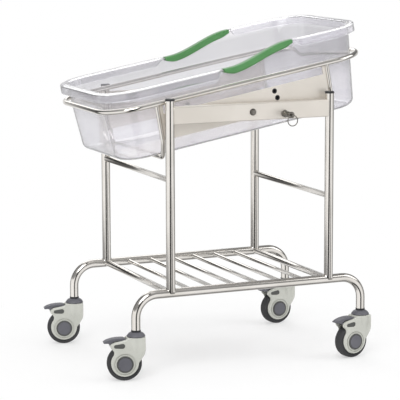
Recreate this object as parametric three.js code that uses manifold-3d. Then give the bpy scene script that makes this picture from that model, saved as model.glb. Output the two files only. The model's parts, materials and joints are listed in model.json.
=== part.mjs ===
// Hospital bassinet on castors, in millimetres, +Z up, long side along X, head end at +X.
import * as THREE from "three";
import { mergeVertices, toCreasedNormals } from "three/addons/utils/BufferGeometryUtils.js";
import Module from "manifold-3d";

const wasm = await Module();
wasm.setup();
const DEG = Math.PI / 180;

// Clearances
const WELD_GAP = 0.3; // between pieces that are welded or pressed together
const RUN_GAP = 0.4; // radial gap round anything that turns or slides
const REST_GAP = 0.2; // between pieces that rest on each other

// Fixed frame
const TUBE_R = 12.5;
const TUBE_WALL = 1.5;
const UPRIGHT_X = 240;
const UPRIGHT_Y = 243;
const UPRIGHT_TOP = 756.5;
const RAIL_Z = 230;
const LEG_X = 342.7;
const RAIL_BEND_R = 60;
const CROSS_R = 8;
const CROSS_FOOT_Z = 539;
const CROSS_HEAD_Z = 466.5;
const SHELF_END_R = 9;
const SHELF_BAR_R = 5.5;
const SHELF_BAR_COUNT = 6;
const CAP_HEAD = 3;
const CAP_PLUG = 14;

// Side bars, pivot and index plunger
const SIDE_BAR_Z = 714;
const SIDE_BAR_HEIGHT = 48;
const SIDE_BAR_DEPTH = 24;
const SIDE_BAR_WALL = 2;
const BOLT_R = 5;
const BOLT_HEAD_R = 8;
const BOLT_HEAD = 5.5;
const NUT_R = 8.5;
const NUT_THICK = 6;
const SPACER_R = 10;
const BARREL_R = 8;
const BARREL_OUT = 29; // barrel length in front of the side bar
const COLLAR_R = 11;
const COLLAR_THICK = 6;
const PIN_R = 4;
const PIN_SHORT = 0.5; // the pin ends this far in front of the plate
const KNOB_R = 9;
const KNOB_LONG = 17;
const LUG_LONG = 9;
const LUG_R = 4.2;
const PULL_RING_R = 14.5;
const PULL_WIRE_R = 1.4;
const EYE_R = 2.4;

// Tilting cradle, in its own frame: origin on the pivot axis, X along the basin, Z square to the ring
const TILT = 10.2 * DEG;
const RING_Z = 77;
const RING_X = 394;
const RING_Y = 219;
const RING_CORNER = 101;
const RING_R = 7;
const HANGER_X = 259;
const HANGER_R = 6;
const HANGER_KNEE_Z = -28;
const HANGER_FOOT_Y = 197;
const PLATE_THICK = 3;
const PLATE_LOW = -24;
const PLATE_HIGH = 48;
const PLATE_EAR = 9;
const INDEX_R = 96; // radius of the arc of index holes
const INDEX_HOLE_R = 6.2;
const INDEX_PITCH = 12.3 * DEG;
const INDEX_COUNT = 4;
const INDEX_FIRST = -5.1 * DEG - TILT; // the hole that faces the pin at rest

// Clear tub, measured as offsets from the outer wall at the height of the ring
const TUB_GAP = 9; // between the tub's wall and the ring
const TUB_WALL = 4;
const TUB_DRAFT = Math.tan(4.2 * DEG);
const TUB_FLOOR_FILLET = 22;
const TUB_DEPTH = 145; // from the ring's plane down to the underside of the floor
const RIM_LOW = 50; // rim above the ring's plane at the foot end
const RIM_HIGH = 87; // rim above the ring's plane at the head end
const RIM_OUT = 22; // flange reach beyond the wall line
const RIM_LIP = 24;
const STEP_START = -27;
const STEP_END = 160;
const GRIP_START = -46;
const GRIP_END = 166;
const GRIP_SKIN = 4; // grip thickness above the tub's edge
const GRIP_HEIGHT = 19;
const GRIP_BACK = 1; // grip's face behind the flange's edge
const GRIP_ROUND = 6;
const GRIP_TAPER = 32; // length of each end over which the skirt gets shorter
const GRIP_TIP = 0.56; // share of the height left at the tip
const GRIP_IN = 5; // grip reach inside the wall
const BEAD_OUT = 5; // small bead of the tub inside the grip
const BEAD_LIP = 4.8;
const FLANGE_FADE = 26; // length over which the flange narrows towards a grip
const FLANGE_CLEAR = 3; // from a grip's end to the narrowed flange
const RIM_ROUND = 2.5;

// Castors, in their own frame: origin on the floor below the swivel axis, +X along the trail
const WHEEL_R = 47.5;
const WHEEL_HALF = 15.5;
const TRAIL = (WHEEL_R * 13) / 19;
const WELL_GAP = 2.5;
const WELL_R = WHEEL_R + WELL_GAP;
const WELL_HALF = 16.5;
const CHEEK_HALF = 22;
const HUB_R = 6;
const HUB_CAP_R = 23;
const HUB_CAP_OUT = 3;
const NECK_R = 25.3;
const NECK_TOP = WHEEL_R * 2.5116;
const COLLAR_HIGH = 16.7; // from the housing's top to the leg
const LEG_BOTTOM = NECK_TOP + COLLAR_HIGH;
const STEM_R = 10;
const STEM_IN = 20; // stem inside the leg
const STEM_TOP = LEG_BOTTOM + STEM_IN;
const KINGPIN_R = 7;
const KINGPIN_LONG = 15.3;
const KINGPIN_LOW = NECK_TOP - KINGPIN_LONG;
const COLLAR_NECK_R = 11.8;
const PEDAL_HALF = 12.5;
const PEDAL_SLOT_HALF = 14.5;
const PEDAL_PIN_R = 2.5;
const PEDAL_PIN_X = WHEEL_R * 0.6632;
const PEDAL_PIN_Z = WHEEL_R * 2.2842;
const CASTORS = [
  ["front_left", -1, -1, 165],
  ["front_right", 1, -1, 189],
  ["rear_left", -1, 1, 165],
  ["rear_right", 1, 1, 185],
];

// Finishes
const finish = (color, roughness, metalness, opacity = 1) =>
  new THREE.MeshStandardMaterial({ color, roughness, metalness, opacity, transparent: opacity < 1 });
const POLISHED = finish(0xc8c9cb, 0.18, 1);
const SATIN = finish(0xd6d2ca, 0.42, 0.9);
const CLEAR = finish(0xe0e2e6, 0.08, 0, 0.4);
const GREEN = finish(0x58a05c, 0.5, 0);
const PALE = finish(0xcdcfc2, 0.45, 0);
const GREY = finish(0x66666c, 0.5, 0);
const BLACK = finish(0x26262a, 0.7, 0);

const vec = (x, y, z) => new THREE.Vector3(x, y, z);
const AXIS_X = vec(1, 0, 0);
const AXIS_Y = vec(0, 1, 0);
const AXIS_Z = vec(0, 0, 1);

// A geometry as a solid: vertices welded, collapsed triangles dropped, faces turned outward.
function solid(geometry) {
  const flat = geometry.index ? geometry.toNonIndexed() : geometry;
  const bare = new THREE.BufferGeometry();
  bare.setAttribute("position", flat.getAttribute("position"));
  const welded = mergeVertices(bare, 1e-4);
  const index = welded.index.array;
  const outward = [];
  const reversed = [];
  for (let i = 0; i < index.length; i += 3) {
    const [a, b, c] = index.slice(i, i + 3);
    if (a === b || b === c || c === a) continue;
    outward.push(a, b, c);
    reversed.push(a, c, b);
  }
  const build = (triangles) =>
    new wasm.Manifold(
      new wasm.Mesh({
        numProp: 3,
        vertProperties: new Float32Array(welded.attributes.position.array),
        triVerts: new Uint32Array(triangles),
      }),
    );
  const made = build(outward);
  return made.volume() > 0 ? made : build(reversed);
}

const joined = (first, ...rest) => rest.reduce((sum, next) => sum.add(next), first);
const without = (first, ...cuts) => cuts.reduce((left, cut) => left.subtract(cut), first);

function piece(name, body, material, parent) {
  const mesh = body.getMesh();
  const geometry = new THREE.BufferGeometry();
  geometry.setAttribute("position", new THREE.BufferAttribute(mesh.vertProperties, 3));
  geometry.setIndex(new THREE.BufferAttribute(mesh.triVerts, 1));
  const shown = new THREE.Mesh(toCreasedNormals(geometry, 35 * DEG), material);
  shown.name = name;
  parent.add(shown);
}

// A straight round bar between two points.
function rod(from, to, radius, sides = 16) {
  const run = to.clone().sub(from);
  const geometry = new THREE.CylinderGeometry(radius, radius, run.length(), sides);
  const turn = new THREE.Quaternion().setFromUnitVectors(AXIS_Y, run.clone().normalize());
  const middle = from.clone().add(to).multiplyScalar(0.5);
  return solid(geometry.applyQuaternion(turn).translate(middle.x, middle.y, middle.z));
}

// A profile of [radius, height] pairs turned about Z.
function turned(profile, sides = 20) {
  const points = profile.map(([r, z]) => new THREE.Vector2(r, z));
  return solid(new THREE.LatheGeometry(points, sides).rotateX(Math.PI / 2));
}

// The same, turned about an axis parallel to Y: heights run along Y.
function turnedAboutY(profile, x, z, sides = 20) {
  const points = profile.map(([r, y]) => new THREE.Vector2(r, y));
  return solid(new THREE.LatheGeometry(points, sides).translate(x, 0, z));
}

// A closed outline in X and Z, given a thickness along Y.
function slab(outline, low, high, bevel = 0) {
  const shape = new THREE.Shape(outline.map(([x, z]) => new THREE.Vector2(x, z)));
  const geometry = new THREE.ExtrudeGeometry(shape, {
    depth: high - low - 2 * bevel,
    bevelEnabled: bevel > 0,
    bevelThickness: bevel,
    bevelSize: bevel,
    bevelOffset: -bevel,
    bevelSegments: 1,
  });
  return solid(geometry.translate(0, 0, -high + bevel).rotateX(Math.PI / 2));
}

// Corner points joined by straight runs and round bends; each station has a point and a direction.
function bends(corners, radius, steps, loop = false) {
  const count = corners.length;
  const stations = [];
  corners.forEach((corner, i) => {
    const before = corners[(i + count - 1) % count];
    const after = corners[(i + 1) % count];
    const arriving = corner.clone().sub(before).normalize();
    const leaving = after.clone().sub(corner).normalize();
    if (!loop && i === 0) {
      stations.push({ at: corner, along: leaving });
      return;
    }
    if (!loop && i === count - 1) {
      stations.push({ at: corner, along: arriving });
      return;
    }
    const angle = arriving.angleTo(leaving);
    const axis = arriving.clone().cross(leaving).normalize();
    const r = Array.isArray(radius) ? radius[i] : radius;
    const start = corner.clone().addScaledVector(arriving, -r * Math.tan(angle / 2));
    const centre = start.clone().addScaledVector(axis.clone().cross(arriving), r);
    for (let k = 0; k <= steps; k += 1) {
      const turn = (angle * k) / steps;
      const at = start.clone().sub(centre).applyAxisAngle(axis, turn).add(centre);
      stations.push({ at, along: arriving.clone().applyAxisAngle(axis, turn) });
    }
  });
  return stations;
}

// Rings of points skinned into one closed surface; the ends are capped unless the rings form a loop.
function skinned(rings, loop = false) {
  const size = rings[0].length;
  const flat = [];
  const triangle = (a, b, c) => flat.push(...a, ...b, ...c);
  const last = loop ? rings.length : rings.length - 1;
  for (let i = 0; i < last; i += 1) {
    const here = rings[i];
    const next = rings[(i + 1) % rings.length];
    for (let j = 0; j < size; j += 1) {
      const k = (j + 1) % size;
      triangle(here[j], here[k], next[k]);
      triangle(here[j], next[k], next[j]);
    }
  }
  return { flat, triangle };
}

function geometryOf(flat) {
  const geometry = new THREE.BufferGeometry();
  return geometry.setAttribute("position", new THREE.Float32BufferAttribute(flat, 3));
}

// A section of [across, up] pairs carried along frames of {at, across, up}.
function swept(sections, frames, loop = false) {
  const rings = frames.map(({ at, across, up }, i) => {
    const section = Array.isArray(sections[0][0]) ? sections[i] : sections;
    return section.map(([a, b]) =>
      at.clone().addScaledVector(across, a).addScaledVector(up, b).toArray(),
    );
  });
  const { flat, triangle } = skinned(rings, loop);
  if (!loop) {
    const first = Array.isArray(sections[0][0]) ? sections[0] : sections;
    const outline = first.map(([a, b]) => new THREE.Vector2(a, b));
    const start = rings[0];
    const end = rings[rings.length - 1];
    for (const [a, b, c] of THREE.ShapeUtils.triangulateShape(outline, [])) {
      triangle(start[c], start[b], start[a]);
      triangle(end[a], end[b], end[c]);
    }
  }
  return solid(geometryOf(flat));
}

function circle(radius, sides) {
  return Array.from({ length: sides }, (_, i) => {
    const turn = (2 * Math.PI * i) / sides;
    return [radius * Math.cos(turn), radius * Math.sin(turn)];
  });
}

// A round bar along stations that all lie in one plane with the given normal.
function bentBar(stations, normal, radius, sides, loop = false) {
  const frames = stations.map(({ at, along }) => ({
    at,
    across: normal,
    up: along.clone().cross(normal),
  }));
  return swept(circle(radius, sides), frames, loop);
}

const assembly = new THREE.Group();
assembly.name = "bassinet";
const frame = new THREE.Group();
frame.name = "frame";
assembly.add(frame);

// Base rails with their castor legs: bent tubes, open at the foot of each leg.
const sideName = (side) => (side < 0 ? "front" : "rear");
const endName = (end) => (end < 0 ? "left" : "right");
for (const side of [-1, 1]) {
  const y = side * UPRIGHT_Y;
  const railPath = (low) =>
    bends(
      [vec(-LEG_X, y, low), vec(-LEG_X, y, RAIL_Z), vec(LEG_X, y, RAIL_Z), vec(LEG_X, y, low)],
      RAIL_BEND_R,
      5,
    );
  const outside = bentBar(railPath(LEG_BOTTOM), AXIS_Y, TUBE_R, 16);
  const inside = bentBar(railPath(LEG_BOTTOM - 1), AXIS_Y, TUBE_R - TUBE_WALL, 8);
  piece(`rail_${sideName(side)}`, without(outside, inside), POLISHED, frame);
}

// Uprights saddle the rails, and a push-in cap closes each top.
const saddle = (radius, y) =>
  rod(vec(-UPRIGHT_X - 60, y, RAIL_Z), vec(UPRIGHT_X + 60, y, RAIL_Z), radius + WELD_GAP, 24);
const postCut = (x, y) =>
  rod(vec(x, y, RAIL_Z - 40), vec(x, y, UPRIGHT_TOP + 40), TUBE_R + WELD_GAP, 24);
for (const side of [-1, 1]) {
  for (const end of [-1, 1]) {
    const [x, y] = [end * UPRIGHT_X, side * UPRIGHT_Y];
    const name = `${sideName(side)}_${endName(end)}`;
    const tube = rod(vec(x, y, RAIL_Z), vec(x, y, UPRIGHT_TOP), TUBE_R);
    const bore = rod(vec(x, y, RAIL_Z - 1), vec(x, y, UPRIGHT_TOP + 1), TUBE_R - TUBE_WALL, 12);
    piece(`upright_${name}`, without(tube, saddle(TUBE_R, y), bore), POLISHED, frame);
    const plugR = TUBE_R - TUBE_WALL - RUN_GAP;
    const foot = UPRIGHT_TOP + REST_GAP;
    const cap = turned(
      [
        [0, foot - CAP_PLUG],
        [plugR, foot - CAP_PLUG],
        [plugR, foot],
        [TUBE_R, foot],
        [TUBE_R, foot + CAP_HEAD * 0.6],
        [TUBE_R - 2, foot + CAP_HEAD],
        [0, foot + CAP_HEAD],
      ],
      12,
    );
    piece(`upright_cap_${name}`, cap.translate(x, y, 0), BLACK, frame);
  }
}

// Cross bars at the two ends, coped to the uprights.
for (const [end, z] of [
  [-1, CROSS_FOOT_Z],
  [1, CROSS_HEAD_Z],
]) {
  const x = end * UPRIGHT_X;
  const bar = rod(vec(x, -UPRIGHT_Y, z), vec(x, UPRIGHT_Y, z), CROSS_R, 14);
  const coped = without(bar, postCut(x, -UPRIGHT_Y), postCut(x, UPRIGHT_Y));
  piece(`cross_bar_${endName(end)}`, coped, POLISHED, frame);
}

// Shelf: bars between the rails, the thicker ones under the uprights.
const shelfSteps = SHELF_BAR_COUNT + 1;
for (let i = 0; i <= shelfSteps; i += 1) {
  const x = -UPRIGHT_X + (2 * UPRIGHT_X * i) / shelfSteps;
  const atEnd = i === 0 || i === shelfSteps;
  const radius = atEnd ? SHELF_END_R : SHELF_BAR_R;
  const bar = rod(vec(x, -UPRIGHT_Y, RAIL_Z), vec(x, UPRIGHT_Y, RAIL_Z), radius, 12);
  const cuts = [saddle(TUBE_R, -UPRIGHT_Y), saddle(TUBE_R, UPRIGHT_Y)];
  if (atEnd) cuts.push(postCut(x, -UPRIGHT_Y), postCut(x, UPRIGHT_Y));
  const name = atEnd ? `shelf_end_bar_${endName(x)}` : `shelf_bar_${i}`;
  piece(name, without(bar, ...cuts), POLISHED, frame);
}

// Side bars: box section, coped to the uprights, drilled for the pivot and the plunger.
const plungerX = INDEX_R * Math.cos(INDEX_FIRST + TILT);
const plungerZ = SIDE_BAR_Z + INDEX_R * Math.sin(INDEX_FIRST + TILT);
const faceY = UPRIGHT_Y + SIDE_BAR_DEPTH / 2;
const backY = UPRIGHT_Y - SIDE_BAR_DEPTH / 2;
const plateOut = RING_Y + PLATE_THICK / 2;
const plateIn = RING_Y - PLATE_THICK / 2;
const acrossY = (x, z, low, high, radius, sides) =>
  rod(vec(x, low, z), vec(x, high, z), radius, sides);

function boxSection(width, height, round) {
  const [w, h] = [width / 2, height / 2];
  const shape = new THREE.Path();
  shape.moveTo(-w + round, -h);
  shape.lineTo(w - round, -h);
  shape.absarc(w - round, -h + round, round, -Math.PI / 2, 0);
  shape.lineTo(w, h - round);
  shape.absarc(w - round, h - round, round, 0, Math.PI / 2);
  shape.lineTo(-w + round, h);
  shape.absarc(-w + round, h - round, round, Math.PI / 2, Math.PI);
  shape.lineTo(-w, -h + round);
  shape.absarc(-w + round, -h + round, round, Math.PI, 1.5 * Math.PI);
  return shape.getPoints(2);
}

for (const side of [-1, 1]) {
  const y = side * UPRIGHT_Y;
  const shape = new THREE.Shape(boxSection(SIDE_BAR_DEPTH, SIDE_BAR_HEIGHT, 4));
  const insideDepth = SIDE_BAR_DEPTH - 2 * SIDE_BAR_WALL;
  const hollow = boxSection(insideDepth, SIDE_BAR_HEIGHT - 2 * SIDE_BAR_WALL, 2);
  shape.holes.push(new THREE.Path(hollow));
  const run = new THREE.ExtrudeGeometry(shape, { depth: 2 * UPRIGHT_X, bevelEnabled: false });
  run.translate(0, 0, -UPRIGHT_X);
  run.applyMatrix4(new THREE.Matrix4().makeBasis(AXIS_Y, AXIS_Z, AXIS_X));
  const bar = solid(run.translate(0, y, SIDE_BAR_Z));
  const cuts = [postCut(-UPRIGHT_X, y), postCut(UPRIGHT_X, y)];
  const [low, high] = [y - SIDE_BAR_DEPTH, y + SIDE_BAR_DEPTH];
  cuts.push(acrossY(0, SIDE_BAR_Z, low, high, BOLT_R + RUN_GAP, 16));
  if (side < 0) cuts.push(acrossY(plungerX, plungerZ, low, high, BARREL_R + WELD_GAP, 16));
  piece(`side_bar_${sideName(side)}`, without(bar, ...cuts), SATIN, frame);

  // Pivot bolt, spacer and nut; the bolt carries the cradle's plate.
  const outer = faceY + REST_GAP;
  const nutEnd = plateIn - REST_GAP - NUT_THICK;
  const shank = acrossY(0, SIDE_BAR_Z, nutEnd - 3, outer + 1, BOLT_R, 16);
  const head = acrossY(0, SIDE_BAR_Z, outer, outer + BOLT_HEAD * 0.25, BOLT_HEAD_R + 1.5, 16);
  const hex = acrossY(0, SIDE_BAR_Z, outer + BOLT_HEAD * 0.2, outer + BOLT_HEAD, BOLT_HEAD_R, 6);
  const toSide = (body) => (side < 0 ? body.mirror([0, 1, 0]) : body);
  piece(`pivot_bolt_${sideName(side)}`, toSide(joined(shank, head, hex)), POLISHED, frame);
  const boltHole = acrossY(0, SIDE_BAR_Z, 0, faceY, BOLT_R + RUN_GAP, 16);
  const nut = acrossY(0, SIDE_BAR_Z, nutEnd, plateIn - REST_GAP, NUT_R, 6);
  piece(`pivot_nut_${sideName(side)}`, toSide(without(nut, boltHole)), POLISHED, frame);
  const spacer = acrossY(0, SIDE_BAR_Z, plateOut + REST_GAP, backY - REST_GAP, SPACER_R, 16);
  piece(`pivot_spacer_${sideName(side)}`, toSide(without(spacer, boltHole)), POLISHED, frame);
}

// Index plunger in the front side bar: barrel, sliding pin with knob and eye, hanging pull ring.
const barrelEnd = -faceY - BARREL_OUT;
const knobEnd = barrelEnd - REST_GAP - KNOB_LONG;
const eyeY = knobEnd - LUG_LONG / 2;
{
  const tube = acrossY(plungerX, plungerZ, barrelEnd, -backY, BARREL_R, 16);
  const collarY = -faceY - REST_GAP;
  const collar = acrossY(plungerX, plungerZ, collarY - COLLAR_THICK, collarY, COLLAR_R, 6);
  const bore = acrossY(plungerX, plungerZ, barrelEnd - 1, -backY + 1, PIN_R + RUN_GAP, 16);
  piece("plunger_barrel", without(joined(tube, collar), bore), GREY, frame);

  const pinTip = -plateOut - PIN_SHORT;
  const pin = acrossY(plungerX, plungerZ, knobEnd + 2, pinTip, PIN_R, 12);
  const waist = KNOB_R - 2;
  const knob = turnedAboutY(
    [
      [0, knobEnd],
      [waist, knobEnd],
      [KNOB_R, knobEnd + 2],
      [KNOB_R, knobEnd + KNOB_LONG * 0.45],
      [waist, knobEnd + KNOB_LONG * 0.6],
      [waist, knobEnd + KNOB_LONG],
      [0, knobEnd + KNOB_LONG],
    ],
    plungerX,
    plungerZ,
    16,
  );
  const lug = acrossY(plungerX, plungerZ, knobEnd - LUG_LONG, knobEnd + 1, LUG_R, 12);
  const eye = rod(vec(plungerX - 20, eyeY, plungerZ), vec(plungerX + 20, eyeY, plungerZ), EYE_R, 12);
  piece("plunger_pin", without(joined(pin, knob, lug), eye), GREY, frame);

  // The wire passes through the eye's bore.
  const ring = new THREE.TorusGeometry(PULL_RING_R, PULL_WIRE_R, 6, 20).rotateX(Math.PI / 2);
  ring.translate(plungerX, eyeY, plungerZ - PULL_RING_R);
  piece("pull_ring", solid(ring), POLISHED, frame);
}

// Tilting cradle.
const cradle = new THREE.Group();
cradle.name = "cradle";
cradle.position.set(0, 0, SIDE_BAR_Z);
cradle.rotation.y = -TILT;
assembly.add(cradle);

const ringCorners = [
  vec(-RING_X, -RING_Y, RING_Z),
  vec(RING_X, -RING_Y, RING_Z),
  vec(RING_X, RING_Y, RING_Z),
  vec(-RING_X, RING_Y, RING_Z),
];
const ringPath = bends(ringCorners, RING_CORNER, 6, true);
piece("cradle_ring", bentBar(ringPath, AXIS_Z, RING_R, 10, true), POLISHED, cradle);

const tubLow = RING_Z - TUB_DEPTH;
const hangerFootZ = tubLow - REST_GAP - HANGER_R;
for (const end of [-1, 1]) {
  const x = end * HANGER_X;
  const path = bends(
    [
      vec(x, -RING_Y, RING_Z),
      vec(x, -RING_Y, HANGER_KNEE_Z),
      vec(x, -HANGER_FOOT_Y, hangerFootZ),
      vec(x, HANGER_FOOT_Y, hangerFootZ),
      vec(x, RING_Y, HANGER_KNEE_Z),
      vec(x, RING_Y, RING_Z),
    ],
    [0, 30, 22, 22, 30, 0],
    3,
  );
  const bar = bentBar(path, AXIS_X, HANGER_R, 10);
  const ringCut = (y) => rod(vec(x - 30, y, RING_Z), vec(x + 30, y, RING_Z), RING_R + WELD_GAP, 24);
  const hanger = without(bar, ringCut(-RING_Y), ringCut(RING_Y));
  piece(`cradle_hanger_${endName(end)}`, hanger, POLISHED, cradle);
}

for (const side of [-1, 1]) {
  const reach = HANGER_X - HANGER_R - WELD_GAP;
  const earTop = RING_Z - RING_R - WELD_GAP;
  const outline = [
    [-reach, PLATE_LOW],
    [reach, PLATE_LOW],
    [reach, earTop],
    [reach - PLATE_EAR, earTop],
    [reach - PLATE_EAR, PLATE_HIGH],
    [-reach + PLATE_EAR, PLATE_HIGH],
    [-reach + PLATE_EAR, earTop],
    [-reach, earTop],
  ];
  const [low, high] = [side * RING_Y - PLATE_THICK / 2, side * RING_Y + PLATE_THICK / 2];
  const hole = (x, z, radius) => acrossY(x, z, low - 1, high + 1, radius, 16);
  const holes = [hole(0, 0, BOLT_R + RUN_GAP)];
  for (let i = 0; side < 0 && i < INDEX_COUNT; i += 1) {
    const angle = INDEX_FIRST + i * INDEX_PITCH;
    holes.push(hole(INDEX_R * Math.cos(angle), INDEX_R * Math.sin(angle), INDEX_HOLE_R));
  }
  const plate = without(slab(outline, low, high), ...holes);
  piece(`cradle_plate_${sideName(side)}`, plate, SATIN, cradle);
}

// Clear tub: one skin that runs over the outside, the rim and the inside, round a rounded rectangle.
const basin = new THREE.Group();
basin.name = "basin";
cradle.add(basin);
const wallOffset = RING_R + TUB_GAP; // from the ring's centre line in to the tub's wall
const cornerX = RING_X - RING_CORNER;
const cornerY = RING_Y - RING_CORNER;
const cornerR = RING_CORNER - wallOffset;
const wallY = cornerY + cornerR;
const draftAt = (z) => (z - RING_Z) * TUB_DRAFT;

function rimHeight(x) {
  const t = THREE.MathUtils.clamp((x - STEP_START) / (STEP_END - STEP_START), 0, 1);
  return RING_Z + RIM_LOW + (RIM_HIGH - RIM_LOW) * t * t * (3 - 2 * t);
}

// Stations round the tub: a corner centre, the outward direction, how far the full flange is on,
// and whether the edge is sunk for a grip.
const gripSteps = 11;
const gripStations = Array.from(
  { length: gripSteps + 1 },
  (_, i) => GRIP_START + ((GRIP_END - GRIP_START) * i) / gripSteps,
);
const fades = [1, 0.67, 0.33, 0].map((t) => [FLANGE_FADE * t, t * t * (3 - 2 * t)]);
function tubStations() {
  const stations = [];
  const straight = (y) => {
    const xs = [
      ...fades.map(([out, flange]) => [GRIP_START - FLANGE_CLEAR - out, flange, 0]),
      [GRIP_START - FLANGE_CLEAR / 3, 0, 1],
      ...gripStations.slice(1, -1).map((x) => [x, 0, 1]),
      [GRIP_END + FLANGE_CLEAR / 3, 0, 1],
      ...fades.map(([out, flange]) => [GRIP_END + FLANGE_CLEAR + out, flange, 0]).reverse(),
    ];
    return (y < 0 ? xs : xs.reverse()).map(([x, flange, sunk]) => ({
      centre: [x, Math.sign(y) * cornerY],
      out: [0, Math.sign(y)],
      flange,
      sunk,
    }));
  };
  const corner = (sx, sy, from) => {
    for (let k = 0; k <= 6; k += 1) {
      const turn = from + (k * Math.PI) / 12;
      const out = [Math.cos(turn), Math.sin(turn)];
      stations.push({ centre: [sx * cornerX, sy * cornerY], out, flange: 1, sunk: 0 });
    }
  };
  corner(-1, -1, Math.PI);
  stations.push(...straight(-1));
  corner(1, -1, 1.5 * Math.PI);
  corner(1, 1, 0);
  stations.push(...straight(1));
  corner(-1, 1, 0.5 * Math.PI);
  return stations;
}

// Profile of [offset from the wall line, height], from under the floor over the rim to the inside.
function tubProfile(x, flange, sunk) {
  const top = rimHeight(x) - GRIP_SKIN * sunk;
  const wallTop = draftAt(top);
  const reach = THREE.MathUtils.lerp(wallTop + BEAD_OUT, RIM_OUT, flange);
  const lip = THREE.MathUtils.lerp(BEAD_LIP, RIM_LIP, flange);
  const profile = [];
  const fillet = (edge, floorZ, radius, inside) => {
    for (let k = 0; k <= 3; k += 1) {
      const turn = ((inside ? 3 - k : k) * Math.PI) / 6;
      profile.push([edge - radius + radius * Math.sin(turn), floorZ + radius - radius * Math.cos(turn)]);
    }
  };
  fillet(draftAt(tubLow), tubLow, TUB_FLOOR_FILLET, false);
  profile.push(
    [draftAt(top - TUB_WALL), top - TUB_WALL],
    [reach - TUB_WALL, top - TUB_WALL],
    [reach - TUB_WALL, top - lip],
    [reach, top - lip],
    [reach, top - RIM_ROUND],
    [reach - RIM_ROUND, top],
    [wallTop - TUB_WALL / 2, top],
    [wallTop - TUB_WALL, top - TUB_WALL / 2],
  );
  const innerLow = tubLow + TUB_WALL;
  fillet(draftAt(innerLow) - TUB_WALL, innerLow, TUB_FLOOR_FILLET - TUB_WALL, true);
  return profile;
}

{
  const rings = tubStations().map(({ centre, out, flange, sunk }) =>
    tubProfile(centre[0], flange, sunk).map(([offset, z]) => {
      const r = cornerR + offset;
      return [centre[0] + r * out[0], centre[1] + r * out[1], z];
    }),
  );
  const flat = [];
  const triangle = (a, b, c) => flat.push(...a, ...b, ...c);
  const lastPoint = rings[0].length - 1;
  const underside = [0, 0, tubLow];
  const floor = [0, 0, tubLow + TUB_WALL];
  rings.forEach((here, i) => {
    const next = rings[(i + 1) % rings.length];
    triangle(underside, next[0], here[0]);
    triangle(floor, here[lastPoint], next[lastPoint]);
    for (let j = 0; j < lastPoint; j += 1) {
      triangle(here[j], next[j], next[j + 1]);
      triangle(here[j], next[j + 1], here[j + 1]);
    }
  });
  piece("tub", solid(geometryOf(flat)), CLEAR, basin);
}

// Green grips: a rounded section with a slot that straddles the tub's bead along the step.
for (const side of [-1, 1]) {
  const inner = -TUB_WALL - GRIP_IN;
  const frames = [];
  const sections = gripStations.map((x) => {
    const top = rimHeight(x) - GRIP_SKIN;
    const wallTop = draftAt(top);
    frames.push({ at: vec(x, side * (wallY + wallTop), top), across: vec(0, side, 0), up: AXIS_Z });
    const t = Math.min((x - GRIP_START) / GRIP_TAPER, (GRIP_END - x) / GRIP_TAPER, 1);
    const full = GRIP_TIP + (1 - GRIP_TIP) * Math.sin((t * Math.PI) / 2);
    const low = GRIP_SKIN - GRIP_HEIGHT * full;
    const round = GRIP_ROUND * full * full;
    const outEdge = RIM_OUT - GRIP_BACK - wallTop;
    const slope = TUB_DRAFT;
    const left = -TUB_WALL - RUN_GAP;
    const right = BEAD_OUT + RUN_GAP;
    const step = -BEAD_LIP - RUN_GAP;
    const corner = (a, b, from) =>
      [0, 1, 2, 3].map((k) => {
        const turn = from + (k * Math.PI) / 6;
        return [a + round * Math.cos(turn), b + round * Math.sin(turn)];
      });
    return [
      [left + slope * low, low],
      [left, RUN_GAP],
      [right, RUN_GAP],
      [right, step],
      [RUN_GAP, step],
      [RUN_GAP + slope * low, low],
      ...corner(outEdge - round, low + round, 1.5 * Math.PI),
      ...corner(outEdge - round, GRIP_SKIN - round, 0),
      ...corner(inner + round / 2, GRIP_SKIN - round, 0.5 * Math.PI).map(([a, b], k) =>
        k === 0 ? [a, b] : [Math.max(a, inner), b],
      ),
      [inner, low + round / 3],
      [inner + round / 6, low],
    ];
  });
  piece(`grip_${sideName(side)}`, swept(sections, frames), GREEN, basin);
}

// Castors. The outlines are drawn in wheel radii, so the housing follows the wheel's size.
const inRadii = (points) => points.map(([x, z]) => [x * WHEEL_R, z * WHEEL_R]);
const lobeZ = WHEEL_R * 1.0737;
const lobeR = WHEEL_R * 0.8;
const lobe = Array.from({ length: 11 }, (_, i) => {
  const turn = Math.PI + (i * 20 + 2) * DEG;
  return [TRAIL + lobeR * Math.cos(turn), lobeZ + lobeR * Math.sin(turn)];
});
const HEEL = inRadii([
  [-0.4632, 1.5579],
  [-0.3158, 1.3263],
]);
const CROWN = inRadii([
  [1.3053, 1.5579],
  [1.2947, 1.7053],
  [1.3895, 1.8526],
  [1.4947, 1.9368],
  [1.5326, 2.0526],
  [1.4737, 2.1789],
  [1.2421, 2.28],
  [0.9053, 2.3368],
  [0.6105, 2.4105],
]);
const CHEEK = [
  [-NECK_R + 1, NECK_TOP],
  [-NECK_R + 1, WHEEL_R * 1.7684],
  ...HEEL,
  ...lobe,
  ...CROWN,
  [NECK_R - 1, NECK_TOP],
];
const PEDAL = inRadii([
  [0.7053, 2.5095],
  [0.6021, 2.4],
  [0.5895, 2.2947],
  [0.6063, 2.2211],
  [0.6737, 2.1853],
  [0.8, 2.1853],
  [0.9263, 2.2316],
  [1.0105, 2.3158],
  [1.2316, 2.3158],
  [1.4, 2.2211],
  [1.4211, 2.0947],
  [1.5053, 2.0842],
  [1.5684, 2.1684],
  [1.6421, 2.2421],
  [1.8632, 2.2316],
  [1.8947, 2.2947],
  [1.7053, 2.4211],
  [1.4105, 2.5116],
  [1.1684, 2.5432],
  [0.8842, 2.5474],
]);
const WINDOW = inRadii([
  [0.8211, 2.0632],
  [1.2105, 2.0463],
]);
const WINDOW_R = [WHEEL_R * 0.1474, WHEEL_R * 0.1053];

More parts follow.
